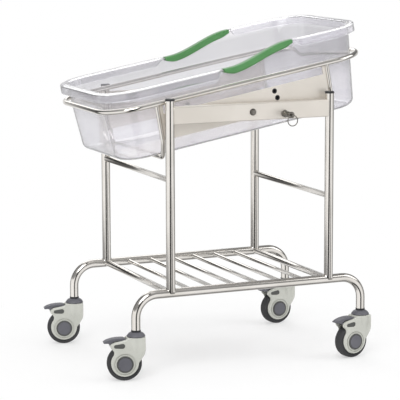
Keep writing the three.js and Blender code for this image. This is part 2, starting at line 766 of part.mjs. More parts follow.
for (const [place, end, side, turnDeg] of CASTORS) {
  const castor = new THREE.Group();
  castor.name = `castor_${place}`;
  castor.position.set(end * LEG_X, side * UPRIGHT_Y, 0);
  castor.rotation.z = turnDeg * DEG;
  assembly.add(castor);
  const name = (what) => `castor_${place}_${what}`;

  const domeLow = NECK_TOP + WELD_GAP;
  const collarTop = LEG_BOTTOM - WELD_GAP;
  const stem = turned(
    [
      [0, KINGPIN_LOW],
      [KINGPIN_R, KINGPIN_LOW],
      [KINGPIN_R, domeLow],
      [NECK_R, domeLow],
      [NECK_R, domeLow + 2],
      [NECK_R - 3, domeLow + 7],
      [NECK_R - 9, domeLow + 11.5],
      [COLLAR_NECK_R, domeLow + 13],
      [COLLAR_NECK_R, collarTop],
      [STEM_R, collarTop],
      [STEM_R, STEM_TOP],
      [0, STEM_TOP],
    ],
    12,
  );
  piece(name("stem"), stem, GREY, castor);

  const cheeks = slab(CHEEK, -CHEEK_HALF, CHEEK_HALF, 3);
  const neck = rod(vec(0, 0, WHEEL_R + WELL_R - 8), vec(0, 0, NECK_TOP), NECK_R, 16);
  const well = acrossY(TRAIL, WHEEL_R, -WELL_HALF, WELL_HALF, WELL_R, 20);
  const slotIn = NECK_R + 1.5;
  const [slotOut, slotLow, slotHigh] = [2 * WELL_R, WHEEL_R * 1.5, WHEEL_R * 3];
  const pedalSlot = slab(
    [
      [slotIn, slotLow],
      [slotOut, slotLow],
      [slotOut, slotHigh],
      [slotIn, slotHigh],
    ],
    -PEDAL_SLOT_HALF,
    PEDAL_SLOT_HALF,
  );
  const through = CHEEK_HALF + 5;
  const windowEnds = WINDOW.map(([x, z], i) => acrossY(x, z, -through, through, WINDOW_R[i], 12));
  const [[bluntX, bluntZ], [noseX, noseZ]] = WINDOW;
  const window = slab(
    [
      [bluntX, bluntZ - WINDOW_R[0]],
      [noseX, noseZ - WINDOW_R[1]],
      [noseX, noseZ + WINDOW_R[1]],
      [bluntX, bluntZ + WINDOW_R[0]],
    ],
    -through,
    through,
  );
  const axleHole = acrossY(TRAIL, WHEEL_R, -CHEEK_HALF - 5, CHEEK_HALF + 5, HUB_R + WELD_GAP, 12);
  const pinEnd = PEDAL_SLOT_HALF + 4;
  const pinReach = pinEnd + RUN_GAP;
  const pinHole = acrossY(PEDAL_PIN_X, PEDAL_PIN_Z, -pinReach, pinReach, PEDAL_PIN_R + RUN_GAP, 8);
  const kingpinFoot = vec(0, 0, KINGPIN_LOW - RUN_GAP);
  const kingpinHole = rod(kingpinFoot, vec(0, 0, NECK_TOP + 5), KINGPIN_R + RUN_GAP, 12);
  const housing = without(
    joined(cheeks, neck),
    well,
    pedalSlot,
    joined(window, ...windowEnds),
    axleHole,
    pinHole,
    kingpinHole,
  );
  piece(name("housing"), housing, PALE, castor);

  const wheel = turnedAboutY(
    [
      [HUB_R + RUN_GAP, -WHEEL_HALF],
      [WHEEL_R - 8, -WHEEL_HALF],
      [WHEEL_R - 2, -WHEEL_HALF + 4],
      [WHEEL_R, -WHEEL_HALF / 2.4],
      [WHEEL_R, WHEEL_HALF / 2.4],
      [WHEEL_R - 2, WHEEL_HALF - 4],
      [WHEEL_R - 8, WHEEL_HALF],
      [HUB_R + RUN_GAP, WHEEL_HALF],
      [HUB_R + RUN_GAP, -WHEEL_HALF],
    ],
    TRAIL,
    WHEEL_R,
    20,
  );
  piece(name("wheel"), wheel, BLACK, castor);

  const capIn = CHEEK_HALF + REST_GAP;
  const capOut = capIn + HUB_CAP_OUT;
  const axle = turnedAboutY(
    [
      [0, -capOut],
      [HUB_CAP_R - 3, -capOut],
      [HUB_CAP_R, -capOut + 1.5],
      [HUB_CAP_R, -capIn],
      [HUB_R, -capIn],
      [HUB_R, capIn],
      [HUB_CAP_R, capIn],
      [HUB_CAP_R, capOut - 1.5],
      [HUB_CAP_R - 3, capOut],
      [0, capOut],
    ],
    TRAIL,
    WHEEL_R,
    12,
  );
  piece(name("axle"), axle, GREY, castor);

  const lever = slab(PEDAL, -PEDAL_HALF, PEDAL_HALF, 1);
  const hinge = acrossY(PEDAL_PIN_X, PEDAL_PIN_Z, -pinEnd, pinEnd, PEDAL_PIN_R, 8);
  piece(name("pedal"), joined(lever, hinge), GREY, castor);
}

// The part's origin is the middle of the footprint, on the floor.
const root = new THREE.Group();
root.name = "hospital_bassinet";
root.add(assembly);
root.updateMatrixWorld(true);
const box = new THREE.Box3().setFromObject(root, true);
const middle = box.getCenter(new THREE.Vector3());
assembly.position.set(-middle.x, -middle.y, -box.min.z);
root.updateMatrixWorld(true);

export default root;
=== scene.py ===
# %% [markdown]
# # A hospital bassinet, dressed piece by piece
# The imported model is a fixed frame: a tubular stainless trolley, a cradle that tilts between its
# uprights, a clear tub that lifts out and four braked castors. This lesson keeps every size of
# that frame and gives each piece a smooth surface, soft edges and a finish of its own.

# %% Load the frame
import json
import math

import bpy
from mathutils import Matrix, Vector


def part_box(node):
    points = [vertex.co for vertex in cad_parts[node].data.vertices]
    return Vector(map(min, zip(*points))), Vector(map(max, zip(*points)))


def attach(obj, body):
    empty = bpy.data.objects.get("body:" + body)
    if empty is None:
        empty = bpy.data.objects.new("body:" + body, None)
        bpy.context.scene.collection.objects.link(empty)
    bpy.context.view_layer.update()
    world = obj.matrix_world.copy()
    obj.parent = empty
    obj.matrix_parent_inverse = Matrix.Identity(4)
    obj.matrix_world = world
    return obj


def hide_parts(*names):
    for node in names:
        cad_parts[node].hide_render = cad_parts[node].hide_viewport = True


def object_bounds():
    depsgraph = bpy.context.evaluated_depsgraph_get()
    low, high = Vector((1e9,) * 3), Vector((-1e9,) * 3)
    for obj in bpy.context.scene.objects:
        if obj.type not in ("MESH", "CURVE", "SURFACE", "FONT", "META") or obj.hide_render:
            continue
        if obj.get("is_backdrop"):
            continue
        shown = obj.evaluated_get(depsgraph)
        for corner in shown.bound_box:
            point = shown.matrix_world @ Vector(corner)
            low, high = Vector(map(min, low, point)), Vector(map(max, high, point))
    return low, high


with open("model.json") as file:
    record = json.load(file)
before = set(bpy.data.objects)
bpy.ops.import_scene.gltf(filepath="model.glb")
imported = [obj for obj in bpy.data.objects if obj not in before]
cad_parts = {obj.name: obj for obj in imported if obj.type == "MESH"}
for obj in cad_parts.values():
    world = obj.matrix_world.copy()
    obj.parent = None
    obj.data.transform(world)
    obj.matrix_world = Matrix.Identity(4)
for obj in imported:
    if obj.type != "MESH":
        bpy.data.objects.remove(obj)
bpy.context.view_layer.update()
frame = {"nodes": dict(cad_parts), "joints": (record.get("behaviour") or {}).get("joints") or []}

nodes = frame["nodes"]
joints = {j["name"]: j for j in frame["joints"]}

# %% [markdown]
# ## Places that come from the frame
# The frame already knows where everything is, so its boxes and joints give the axes of the tubes,
# the pivot of the cradle and the floor point under each castor. Only what a box cannot tell, such
# as a bend's radius, is written again as a named size.

# %% Read the frame
TILT = math.radians(10.2)
pivot = Vector(joints["cradle_tilt"]["pos_m"])
CRADLE = Matrix.Translation(pivot) @ Matrix.Rotation(-TILT, 4, "Y")
SIDES = ("front", "rear")
ENDS = ("left", "right")
PLACES = [f"{side}_{end}" for side in SIDES for end in ENDS]


def middle(node):
    low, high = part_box(node)
    return (low + high) / 2


def extent(node):
    low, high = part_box(node)
    return high - low


def moved(x=0, y=0, z=0):
    return Matrix.Translation((x, y, z))


tube_radius = extent("upright_front_left").x / 2
rail_low, rail_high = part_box("rail_front")
rail_z = rail_high.z - tube_radius
print("pivot at", [round(v, 4) for v in pivot], "tube radius", round(tube_radius, 4))

# %% [markdown]
# ## Camera
# The photograph was taken from far away with a long lens, a little above the tub's rim and from
# the foot end. The aim point is written in the frame's own axes and the camera sits straight back
# from it, so moving one value moves the picture in an obvious way.

# %% Camera
VIEW_AZIMUTH = math.radians(-23.597)
VIEW_ELEVATION = math.radians(9.003)
VIEW_ROLL = math.radians(-0.162)
VIEW_DISTANCE = 5.6515
AIM_RIGHT = -0.0433
AIM_UP = 0.2025
LENS = 176.84
SENSOR_WIDTH = 36
FAR_CLIP = 100

sight_back = Vector((
    math.sin(VIEW_AZIMUTH) * math.cos(VIEW_ELEVATION),
    -math.cos(VIEW_AZIMUTH) * math.cos(VIEW_ELEVATION),
    math.sin(VIEW_ELEVATION),
))
level_right = Vector((math.cos(VIEW_AZIMUTH), math.sin(VIEW_AZIMUTH), 0))
level_up = sight_back.cross(level_right)
sight_right = level_right * math.cos(VIEW_ROLL) + level_up * math.sin(VIEW_ROLL)
sight_up = level_up * math.cos(VIEW_ROLL) - level_right * math.sin(VIEW_ROLL)
frame_centre = Vector((pivot.x, pivot.y, rail_z))
eye = frame_centre + sight_right * AIM_RIGHT + sight_up * AIM_UP + sight_back * VIEW_DISTANCE

bpy.ops.object.select_all(action="DESELECT")
bpy.ops.object.camera_add(location=eye)
camera = bpy.context.object
camera.name = "photo_camera"
turn = Matrix((sight_right, sight_up, sight_back)).transposed()
camera.rotation_euler = turn.to_euler()
camera.data.lens = LENS
camera.data.sensor_width = SENSOR_WIDTH
camera.data.clip_end = FAR_CLIP
bpy.context.scene.camera = camera
print("camera at", [round(v, 3) for v in eye])

# %% [markdown]
# ## Floor and light
# The photograph has a pure white ground with only a faint shadow at the wheels. A large floor with
# a painted backdrop would do, but a small pale disc is enough: it takes the shadow and fades into
# plain white at its edge. Reflections do not see it, so the undersides of the tubes stay bright.

# %% Floor
FLOOR_RADIUS = 1.5
FLOOR_GAP = 0.0004
FADE_FROM, FADE_TO = -0.05, 0.9
WHITE = (1, 1, 1, 1)

bpy.ops.object.select_all(action="DESELECT")
bpy.ops.mesh.primitive_circle_add(
    vertices=96, radius=FLOOR_RADIUS, fill_type="NGON", location=(0, 0, -FLOOR_GAP)
)
floor = bpy.context.object
floor.name = "studio_floor"
bpy.ops.object.transform_apply(location=True, rotation=True, scale=True)
floor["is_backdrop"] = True


def new_material(name):
    material = bpy.data.materials.new(name)
    material.use_nodes = True
    return material, material.node_tree.nodes, material.node_tree.links


def set_sockets(node, sockets):
    for socket, value in sockets.items():
        node.inputs[socket.replace("_", " ")].default_value = value


def add(made, kind, operation=None, **sockets):
    """A shader node with its operation and its constants; _ in a socket's name stands for a space."""
    node = made.new("ShaderNode" + kind)
    if operation:
        node.operation = operation
    set_sockets(node, sockets)
    return node


def join_up(wires, *pairs):
    """Draws a wire for each (output, input)."""
    for source, target in pairs:
        wires.new(source, target)


floor_paint, made, wires = new_material("studio_floor_paint")
made.clear()
output = add(made, "OutputMaterial")
paper = add(made, "BsdfDiffuse", Color=(0.97, 0.97, 0.972, 1))
white = add(made, "Emission", Color=WHITE)
where = add(made, "TexCoord")
reach = add(made, "VectorMath", "LENGTH")
fade = add(made, "MapRange", From_Min=FADE_FROM, From_Max=FADE_TO)
fade.interpolation_type = "SMOOTHSTEP"
blend = add(made, "MixShader")
join_up(
    wires,
    (where.outputs["Object"], reach.inputs[0]),
    (reach.outputs["Value"], fade.inputs["Value"]),
    (fade.outputs["Result"], blend.inputs["Fac"]),
    (paper.outputs["BSDF"], blend.inputs[1]),
    (white.outputs["Emission"], blend.inputs[2]),
    (blend.outputs["Shader"], output.inputs["Surface"]),
)
floor.data.materials.append(floor_paint)
floor.visible_glossy = False
print("floor: radius", FLOOR_RADIUS, "m")

# %% [markdown]
# Polished tube only looks like metal when it has something dark to mirror. A picture of a studio
# could be wrapped round the scene, but two ramps say the same with a few numbers: one holds the
# brightness round the walls and one from the floor to the ceiling, and they are multiplied.

# %% Studio for reflections
# Round the compass, from -X through -Y, +X and +Y back to -X.
WALLS = [
    (0.0, 1.0), (0.15, 1.05), (0.172, 0.6), (0.183, 0.05), (0.252, 0.05), (0.272, 0.95),
    (0.37, 0.95), (0.425, 0.75), (0.45, 0.25), (0.52, 0.25), (0.56, 0.6), (0.7, 0.85),
    (0.79, 0.85), (0.81, 0.1), (0.86, 0.1), (0.9, 0.95),
]
# From straight down to straight up: grey below, a dark band over the horizon.
BANDS = [
    (0.0, 0.55), (0.1, 0.6), (0.18, 1.0), (0.575, 1.05), (0.625, 0.3), (0.79, 0.3),
    (0.84, 0.42), (0.93, 0.42), (0.97, 0.85), (1.0, 0.9),
]

world = bpy.data.worlds.new("studio")
bpy.context.scene.world = world
world.use_nodes = True
sky, wires = world.node_tree.nodes, world.node_tree.links
sky.clear()


def add_ramp(made, steps):
    """A ramp of greys from (position, brightness) steps."""
    node = add(made, "ValToRGB")
    elements = node.color_ramp.elements
    elements.remove(elements[1])
    elements[0].position = steps[0][0]
    elements[0].color = (steps[0][1],) * 3 + (1,)
    for place, bright in steps[1:]:
        elements.new(place).color = (bright,) * 3 + (1,)
    return node


def add_product(made, wires, first, second):
    """The product of two colours."""
    node = add(made, "Mix", Factor=1)
    node.data_type, node.blend_type = "RGBA", "MULTIPLY"
    join_up(wires, (first, node.inputs[6]), (second, node.inputs[7]))
    return node.outputs[2]


where = add(sky, "TexCoord")
split = add(sky, "SeparateXYZ")
around = add(sky, "Math", "ARCTAN2")
share = add(sky, "MapRange", From_Min=-math.pi, From_Max=math.pi)
walls = add_ramp(sky, WALLS)
lift = add(sky, "MapRange", From_Min=-1, From_Max=1)
bands = add_ramp(sky, BANDS)
studio = add(sky, "Background", Strength=1.0)
ceiling = add_product(sky, wires, walls.outputs["Color"], bands.outputs["Color"])
join_up(
    wires,
    (where.outputs["Generated"], split.inputs[0]),
    (split.outputs["Y"], around.inputs[0]),
    (split.outputs["X"], around.inputs[1]),
    (around.outputs["Value"], share.inputs["Value"]),
    (share.outputs["Result"], walls.inputs["Fac"]),
    (split.outputs["Z"], lift.inputs["Value"]),
    (lift.outputs["Result"], bands.inputs["Fac"]),
    (ceiling, studio.inputs["Color"]),
)
print("studio:", len(WALLS), "steps round,", len(BANDS), "steps up")

# %% [markdown]
# The kinds of ray are then told apart. The camera sees plain white, also through the clear tub,
# mirrors see the studio, and everything else is lit by a soft white from all round.

# %% World
SOFT_LIGHT = 0.62

output = add(sky, "OutputWorld")
plain = add(sky, "Background", Color=WHITE)
soft = add(sky, "Background", Color=WHITE, Strength=SOFT_LIGHT)
rays = add(sky, "LightPath")
either = add(sky, "Math", "MAXIMUM")
mirror = add(sky, "MixShader")
choose = add(sky, "MixShader")
join_up(
    wires,
    (rays.outputs["Is Camera Ray"], either.inputs[0]),
    (rays.outputs["Is Transmission Ray"], either.inputs[1]),
    (either.outputs["Value"], choose.inputs["Fac"]),
    (rays.outputs["Is Glossy Ray"], mirror.inputs["Fac"]),
    (soft.outputs["Background"], mirror.inputs[1]),
    (studio.outputs["Background"], mirror.inputs[2]),
    (mirror.outputs["Shader"], choose.inputs[1]),
    (plain.outputs["Background"], choose.inputs[2]),
    (choose.outputs["Shader"], output.inputs["Surface"]),
)
print("world: soft light at", SOFT_LIGHT)

# %% [markdown]
# Three wide lamps add a direction to that light: a key from the front left, a weaker fill from the
# right and one from behind. They are weak enough that a colour renders about as it is written.

# %% Lamps
LAMP_AIM = Vector((0, 0, 0.5))
# Name, place, width and watts.
LAMPS = [
    ("key_lamp", (-1.6, -2.4, 2.9), 2.0, 60),
    ("fill_lamp", (2.6, -1.2, 2.2), 2.2, 22),
    ("back_lamp", (0.4, 2.8, 2.6), 2.4, 24),
]

bpy.context.scene.view_settings.view_transform = "Standard"
for name, place, width, watts in LAMPS:
    bpy.ops.object.select_all(action="DESELECT")
    bpy.ops.object.light_add(type="AREA", location=place)
    lamp = bpy.context.object
    lamp.name = name
    lamp.data.size = width
    lamp.data.energy = watts
    lamp.rotation_euler = (LAMP_AIM - Vector(place)).to_track_quat("-Z", "Y").to_euler()
print("lamps:", len(LAMPS))

# %% [markdown]
# ## Finishes
# Each finish is a Principled shader whose colour, roughness and bump vary a little with noise in
# Object coordinates, because even a new bassinet has polishing lines, moulding grain and handling
# marks. The pattern's stretch says which way a metal was polished. Values that are the same all
# over, such as the metal share, are set on the shader itself.


# %% Finish helper
def linear(red, green, blue):
    """A colour as picked on a screen, 0 to 255, as the linear values that sockets take."""
    def straight(value):
        share = value / 255
        return share / 12.92 if share <= 0.04045 else ((share + 0.055) / 1.055) ** 2.4

    return (straight(red), straight(green), straight(blue), 1)


def finish(name, light, dark, rough, grain, depth, stretch=(1, 1, 1), patch=14, **sockets):
    """A finish whose tone wanders between two colours, with a fine grain that also bumps."""
    material, made, wires = new_material(name)
    shader = made["Principled BSDF"]
    set_sockets(shader, sockets)
    where = add(made, "TexCoord")
    turned_to = add(made, "Mapping", Scale=stretch)
    patches = add(made, "TexNoise", Scale=patch, Detail=4)
    tone = add(made, "ValToRGB")
    for number, position, colour in ((0, 0.35, dark), (1, 0.65, light)):
        tone.color_ramp.elements[number].position = position
        tone.color_ramp.elements[number].color = colour
    fine = add(made, "TexNoise", Scale=grain, Detail=3)
    gloss = add(made, "MapRange", From_Min=0.3, From_Max=0.7, To_Min=rough[0], To_Max=rough[1])
    bump = add(made, "Bump", Strength=0.35, Distance=depth)
    join_up(
        wires,
        (where.outputs["Object"], turned_to.inputs["Vector"]),
        (where.outputs["Object"], patches.inputs["Vector"]),
        (patches.outputs["Fac"], tone.inputs["Fac"]),
        (tone.outputs["Color"], shader.inputs["Base Color"]),
        (turned_to.outputs["Vector"], fine.inputs["Vector"]),
        (fine.outputs["Fac"], gloss.inputs["Value"]),
        (gloss.outputs["Result"], shader.inputs["Roughness"]),
        (fine.outputs["Fac"], bump.inputs["Height"]),
        (bump.outputs["Normal"], shader.inputs["Normal"]),
    )
    return material


# %% [markdown]
# The metals come first. Tube is polished and nearly a mirror. The side bars and plates are satin
# sheet, brushed along their length, and look warm in the photograph.

# %% Metals
polished = finish(
    "polished_stainless", linear(236, 232, 227), linear(227, 223, 217), (0.11, 0.17), 260, 0.000012,
    Metallic=1.0,
)
satin = finish(
    "satin_stainless", linear(231, 225, 217), linear(221, 215, 206), (0.28, 0.40), 90, 0.00006,
    stretch=(0.6, 14, 14), patch=6, Metallic=0.45,
)
plated = finish(
    "plunger_plating", linear(142, 138, 132), linear(108, 105, 100), (0.20, 0.34), 400, 0.00004,
    Metallic=1.0,
)
print("metals:", polished.name, satin.name, plated.name)

# %% [markdown]
# Then the plastics: the green grips, the pale and dark parts of the castors, the black caps and
# the tyres, and a dark grey that paints shade on the castors. The moulded ones have a fine
# spark-eroded grain, and rubber is duller and rougher.

# %% Plastics
green = finish(
    "green_grip", linear(86, 145, 86), linear(77, 134, 78), (0.34, 0.46), 900, 0.00008
)
pale = finish(
    "pale_moulding", linear(203, 204, 196), linear(194, 195, 187), (0.22, 0.34), 800, 0.00008,
    Specular_IOR_Level=0.7,
)
grey = finish(
    "grey_moulding", linear(105, 105, 112), linear(94, 94, 101), (0.38, 0.52), 800, 0.0001
)
# Painted shade: this dark grey stands for shadow in the castor windows and round the hub caps.
painted_shade_grey = finish(
    "painted_shade_inset", linear(87, 88, 86), linear(76, 77, 75), (0.45, 0.6), 700, 0.0001
)
black = finish(
    "black_cap", linear(44, 44, 47), linear(34, 34, 37), (0.42, 0.58), 700, 0.0001
)
tyre = finish(
    "grey_tyre", linear(62, 62, 64), linear(48, 48, 50), (0.6, 0.78), 500, 0.00015
)
print("plastics:", *(m.name for m in (green, pale, grey, painted_shade_grey, black, tyre)))

# %% [markdown]
# The tub is clear plastic. Its wall is a real wall with two faces, so light bends in and out of it
# as it does in the moulding, and a slight tint gives the cool grey of the photograph.

# %% Clear plastic
clear = finish(
    "clear_tub", linear(240, 239, 242), linear(235, 234, 238), (0.02, 0.06), 120, 0.00003,
    patch=5, Transmission_Weight=0.88, IOR=1.45,
)
print("clear:", clear.name)

# %% [markdown]
# ## Helpers for every piece
# A new primitive gets its place applied to its mesh and is shaped in edit mode. Operators act on
# all that is selected, so these helpers make sure that only the right piece or points are.


# %% Selecting
def fresh():
    """Leaves edit mode and deselects everything."""
    if bpy.context.mode != "OBJECT":
        bpy.ops.object.mode_set(mode="OBJECT")
    bpy.ops.object.select_all(action="DESELECT")


def only(piece):
    """Makes a piece the one that operators act on."""
    fresh()
    piece.select_set(True)
    bpy.context.view_layer.objects.active = piece


def apply_place():
    bpy.ops.object.transform_apply(location=True, rotation=True, scale=True)
    return bpy.context.object


def edit_all():
    bpy.ops.object.mode_set(mode="EDIT")
    bpy.ops.mesh.select_all(action="SELECT")


def edit_some(elements):
    """Selects some of the active mesh's points or edges and enters edit mode."""
    bpy.ops.object.mode_set(mode="EDIT")
    bpy.ops.mesh.select_all(action="DESELECT")
    bpy.ops.object.mode_set(mode="OBJECT")
    for element in elements():
        element.select = True
    bpy.ops.object.mode_set(mode="EDIT")


# %% [markdown]
# A shaped mesh is settled: doubles are merged, the faces are turned outward and soft edges are
# smoothed. Bevels, cuts and joins are modifiers or operators on whole pieces.

# %% Settling and cutting
MERGE_WITHIN = 0.000005


def smooth(angle):
    """Smooths the active piece's edges that are softer than an angle in degrees."""
    bpy.ops.object.shade_smooth_by_angle(angle=math.radians(angle))


def settle(angle=35):
    """Merges doubles, turns the faces outward and smooths every edge softer than an angle."""
    if bpy.context.mode != "EDIT_MESH":
        bpy.ops.object.mode_set(mode="EDIT")
    bpy.ops.mesh.select_all(action="SELECT")
    bpy.ops.mesh.remove_doubles(threshold=MERGE_WITHIN)
    bpy.ops.mesh.normals_make_consistent(inside=False)
    bpy.ops.object.mode_set(mode="OBJECT")
    smooth(angle)
    return bpy.context.object


def apply_modifier(piece, kind, **settings):
    """Adds a modifier with its settings and applies it."""
    only(piece)
    modifier = piece.modifiers.new(kind.lower(), kind)
    for setting, value in settings.items():
        setattr(modifier, setting, value)
    bpy.ops.object.modifier_apply(modifier=modifier.name)


def soften(piece, width, segments=3, angle=40):
    """Rounds every edge that is sharper than an angle."""
    apply_modifier(
        piece, "BEVEL", width=width, segments=segments, limit_method="ANGLE",
        angle_limit=math.radians(angle), use_clamp_overlap=True,
    )
    smooth(40)


def carve(piece, cutter, operation="DIFFERENCE"):
    apply_modifier(piece, "BOOLEAN", object=cutter, operation=operation, solver="EXACT")
    bpy.data.objects.remove(cutter)


def joined(first, *others):
    only(first)
    for other in others:
        other.select_set(True)
    bpy.ops.object.join()
    return first


# %% [markdown]
# Handing a piece over names it, gives it a finish, tells which frame nodes it stands for and lets
# it ride on a body. What repeats is modelled once and copied, and each copy has its own mesh.


# %% Handing over
def paint(piece, material):
    piece.data.materials.clear()
    piece.data.materials.append(material)


def hand_over(piece, name, body, material, slot, *stands_for):
    piece.name = name
    piece.data.name = name
    paint(piece, material)
    if stands_for:
        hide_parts(*stands_for)
    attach(piece, body)
    return piece


def copy_of(piece, place):
    """A copy with a mesh of its own, moved to its place."""
    twin = bpy.data.objects.new(piece.name, piece.data.copy())
    bpy.context.scene.collection.objects.link(twin)
    twin.data.transform(place)
    return twin


def spread(piece, body, material, slot, copies):
    """Hands over a copy for each (name, place, node it stands for) and drops the model piece."""
    for name, place, *stands_for in copies:
        hand_over(copy_of(piece, place), name, body, material, slot, *stands_for)
    print(copies[0][0], "and", len(copies) - 1, "more,", len(piece.data.polygons), "faces each")
    bpy.data.objects.remove(piece)


# %% [markdown]
# ## Bent tubes
# A tube bender feeds straight tube and turns it round a former. The same is done here: a circle is
# extruded along each straight run and spun round each bend. The spin operator turns left-handed,
# so its angle is given a minus sign.

# %% Bent tube
TUBE_SIDES = 32
BEND_STEPS = 12
print("tubes have", TUBE_SIDES, "sides and", BEND_STEPS, "steps in a square bend")


def bent_tube(corners, bend_radii, radius, closed=False):
    """A tube through corner points; a closed one starts and ends in the middle of its first run."""
    points = [Vector(c) for c in corners]
    if closed:
        start = (points[0] + points[1]) / 2
        route = points[1:] + points[:1]
        radii = list(bend_radii[1:]) + list(bend_radii[:1])
        goal = start
    else:
        start = points[0]
        route = points[1:-1]
        radii = bend_radii
        goal = points[-1]
    heading = ((route + [goal])[0] - start).normalized()
    fresh()
    bpy.ops.mesh.primitive_circle_add(
        vertices=TUBE_SIDES, radius=radius, location=start,
        rotation=heading.to_track_quat("Z", "Y").to_euler(),
    )
    apply_place()
    edit_all()
    here = start
    for corner, after, bend in zip(route, route[1:] + [goal], radii):
        arriving = (corner - here).normalized()
        leaving = (after - corner).normalized()
        angle = arriving.angle(leaving)
        used = bend * math.tan(angle / 2)
        tangent = corner - arriving * used
        bpy.ops.mesh.extrude_region_move(TRANSFORM_OT_translate={"value": tangent - here})
        axis = arriving.cross(leaving).normalized()
        centre = tangent + axis.cross(arriving) * bend
        steps = max(4, round(BEND_STEPS * angle / (math.pi / 2)))
        bpy.ops.mesh.spin(steps=steps, angle=-angle, center=centre, axis=axis)
        here = corner + leaving * used
    bpy.ops.mesh.extrude_region_move(TRANSFORM_OT_translate={"value": goal - here})
    return settle()


# %% [markdown]
# The two base rails are one tube each: up from a castor, along under the uprights and down to the
# other castor. They are open where the castor stems go in, so they get a wall.

# %% Base rails
RAIL_BEND = 0.060
TUBE_WALL = 0.0015

rail_left, rail_right = rail_low.x + tube_radius, rail_high.x - tube_radius
rail = bent_tube(
    [
        (rail_left, 0, rail_low.z), (rail_left, 0, rail_z),
        (rail_right, 0, rail_z), (rail_right, 0, rail_low.z),
    ],
    [RAIL_BEND] * 2, tube_radius,
)
apply_modifier(rail, "SOLIDIFY", thickness=TUBE_WALL, offset=-1)
smooth(35)
spread(rail, "frame", polished, "polished_steel", [
    (f"rail_tube_{side}", moved(y=middle(f"rail_{side}").y), f"rail_{side}") for side in SIDES
])

# %% [markdown]
# ## Welded bars
# Uprights, cross bars and shelf bars end against another tube, so each end is a saddle with a
# small ground weld. A plain cylinder is extruded once at each end. The old ring then follows the
# other tube's surface at the weld's height, and the new ring spreads on to that surface.

# %% Welded bar
WELD = 0.0022
WELD_SINK = 0.0003
AT_END = 1e-5
print("welds are", WELD, "m high")


def welded_bar(start, end, radius, across, start_tube, end_tube):
    """A bar between two tube axes; across is their direction, and a tube of None is a plain end."""
    start, end = Vector(start), Vector(end)
    along = (end - start).normalized()
    sideways = along.cross(Vector(across)).normalized()
    fresh()
    bpy.ops.mesh.primitive_cylinder_add(
        vertices=TUBE_SIDES, radius=radius, depth=(end - start).length, end_fill_type="NOTHING",
        location=(start + end) / 2, rotation=along.to_track_quat("Z", "Y").to_euler(),
    )
    bar = apply_place()
    for point, inward, tube in ((start, along, start_tube), (end, -along, end_tube)):
        if tube is None:
            continue
        edit_some(lambda: [v for v in bar.data.vertices if abs((v.co - point).dot(along)) < AT_END])
        bpy.ops.mesh.extrude_region_move(TRANSFORM_OT_translate={"value": (0, 0, 0)})
        bpy.ops.object.mode_set(mode="OBJECT")
        for vertex in bar.data.vertices:
            offset = vertex.co - point
            if abs(offset.dot(along)) > AT_END:
                continue
            grown = offset * ((radius + WELD) / radius) if vertex.select else offset
            wide = min(abs(grown.dot(sideways)), tube)
            rise = math.sqrt(tube * tube - wide * wide)
            vertex.co = point + grown + inward * (rise + (-WELD_SINK if vertex.select else WELD))
    bpy.ops.object.mode_set(mode="EDIT")
    return settle(60)


# %% [markdown]
# The four uprights stand on the rails and are open at the top, where caps close them later.

# %% Uprights
upright_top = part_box("upright_front_left")[1].z
upright_at = {
    place: moved(middle(f"upright_{place}").x, middle(f"upright_{place}").y) for place in PLACES
}
upright = welded_bar(
    (0, 0, rail_z), (0, 0, upright_top), tube_radius, (1, 0, 0), tube_radius, None
)
apply_modifier(upright, "SOLIDIFY", thickness=TUBE_WALL, offset=-1)
smooth(60)
spread(upright, "frame", polished, "polished_steel", [
    (f"upright_tube_{place}", upright_at[place], f"upright_{place}") for place in PLACES
])

# %% [markdown]
# The cross bars stiffen the two ends, the foot one higher than the head one. The shelf is a row of
# bars from rail to rail, thicker under the uprights.

# %% Cross bars and shelf
front_y, rear_y = middle("rail_front").y, middle("rail_rear").y


def side_to_side(node, height, across):
    """A bar at a frame node's place and as thick as it, from the front tubes to the rear ones."""
    x, radius = middle(node).x, extent(node).z / 2
    return welded_bar(
        (x, front_y, height), (x, rear_y, height), radius, across, tube_radius, tube_radius
    )


first = middle("cross_bar_left")
steps = {end: middle(f"cross_bar_{end}") - first for end in ENDS}
spread(
    side_to_side("cross_bar_left", first.z, (0, 0, 1)), "frame", polished, "polished_steel",
    [
        (f"cross_tube_{end}", moved(x=step.x, z=step.z), f"cross_bar_{end}")
        for end, step in steps.items()
    ],
)
for kind in ("shelf_bar_", "shelf_end_bar_"):
    alike = sorted(node for node in nodes if node.startswith(kind))
    first = middle(alike[0])
    spread(side_to_side(alike[0], rail_z, (1, 0, 0)), "frame", polished, "polished_steel", [
        (node.replace("shelf_", "rack_"), moved(x=middle(node).x - first.x), node) for node in alike
    ])

# %% [markdown]
# ## Side bars
# A flat box section closes each side between the uprights and carries the pivot. It is a cube at
# its size whose long edges are bevelled, and it runs a little into the uprights it is welded to.

# %% Side bars
BAR_ROUND = 0.004
BAR_SINK = 0.002
LONG_EDGE = 0.1

bar_size = extent("side_bar_front")
fresh()
bpy.ops.mesh.primitive_cube_add(size=1)
bar = bpy.context.object
bar.dimensions = (bar_size.x - 2 * BAR_SINK, bar_size.y, bar_size.z)
apply_place()


def long_edges():
    points = bar.data.vertices
    ends = [(edge, *(points[v].co.x for v in edge.vertices)) for edge in bar.data.edges]
    return [edge for edge, first, last in ends if abs(first - last) > LONG_EDGE]


edit_some(long_edges)
bpy.ops.mesh.bevel(offset=BAR_ROUND, segments=6, affect="EDGES")
settle()
spread(bar, "frame", satin, "satin_steel", [
    (f"side_box_{side}", moved(*middle(f"side_bar_{side}")), f"side_bar_{side}") for side in SIDES
])

# %% [markdown]
# ## Turned pieces
# Bolts, knobs, wheels and domes are turned. A circle is drawn at the first height and extruded up
# from point to point of an outline, scaled to each new radius on the way. A hollow one returns to
# its first ring and is merged there.


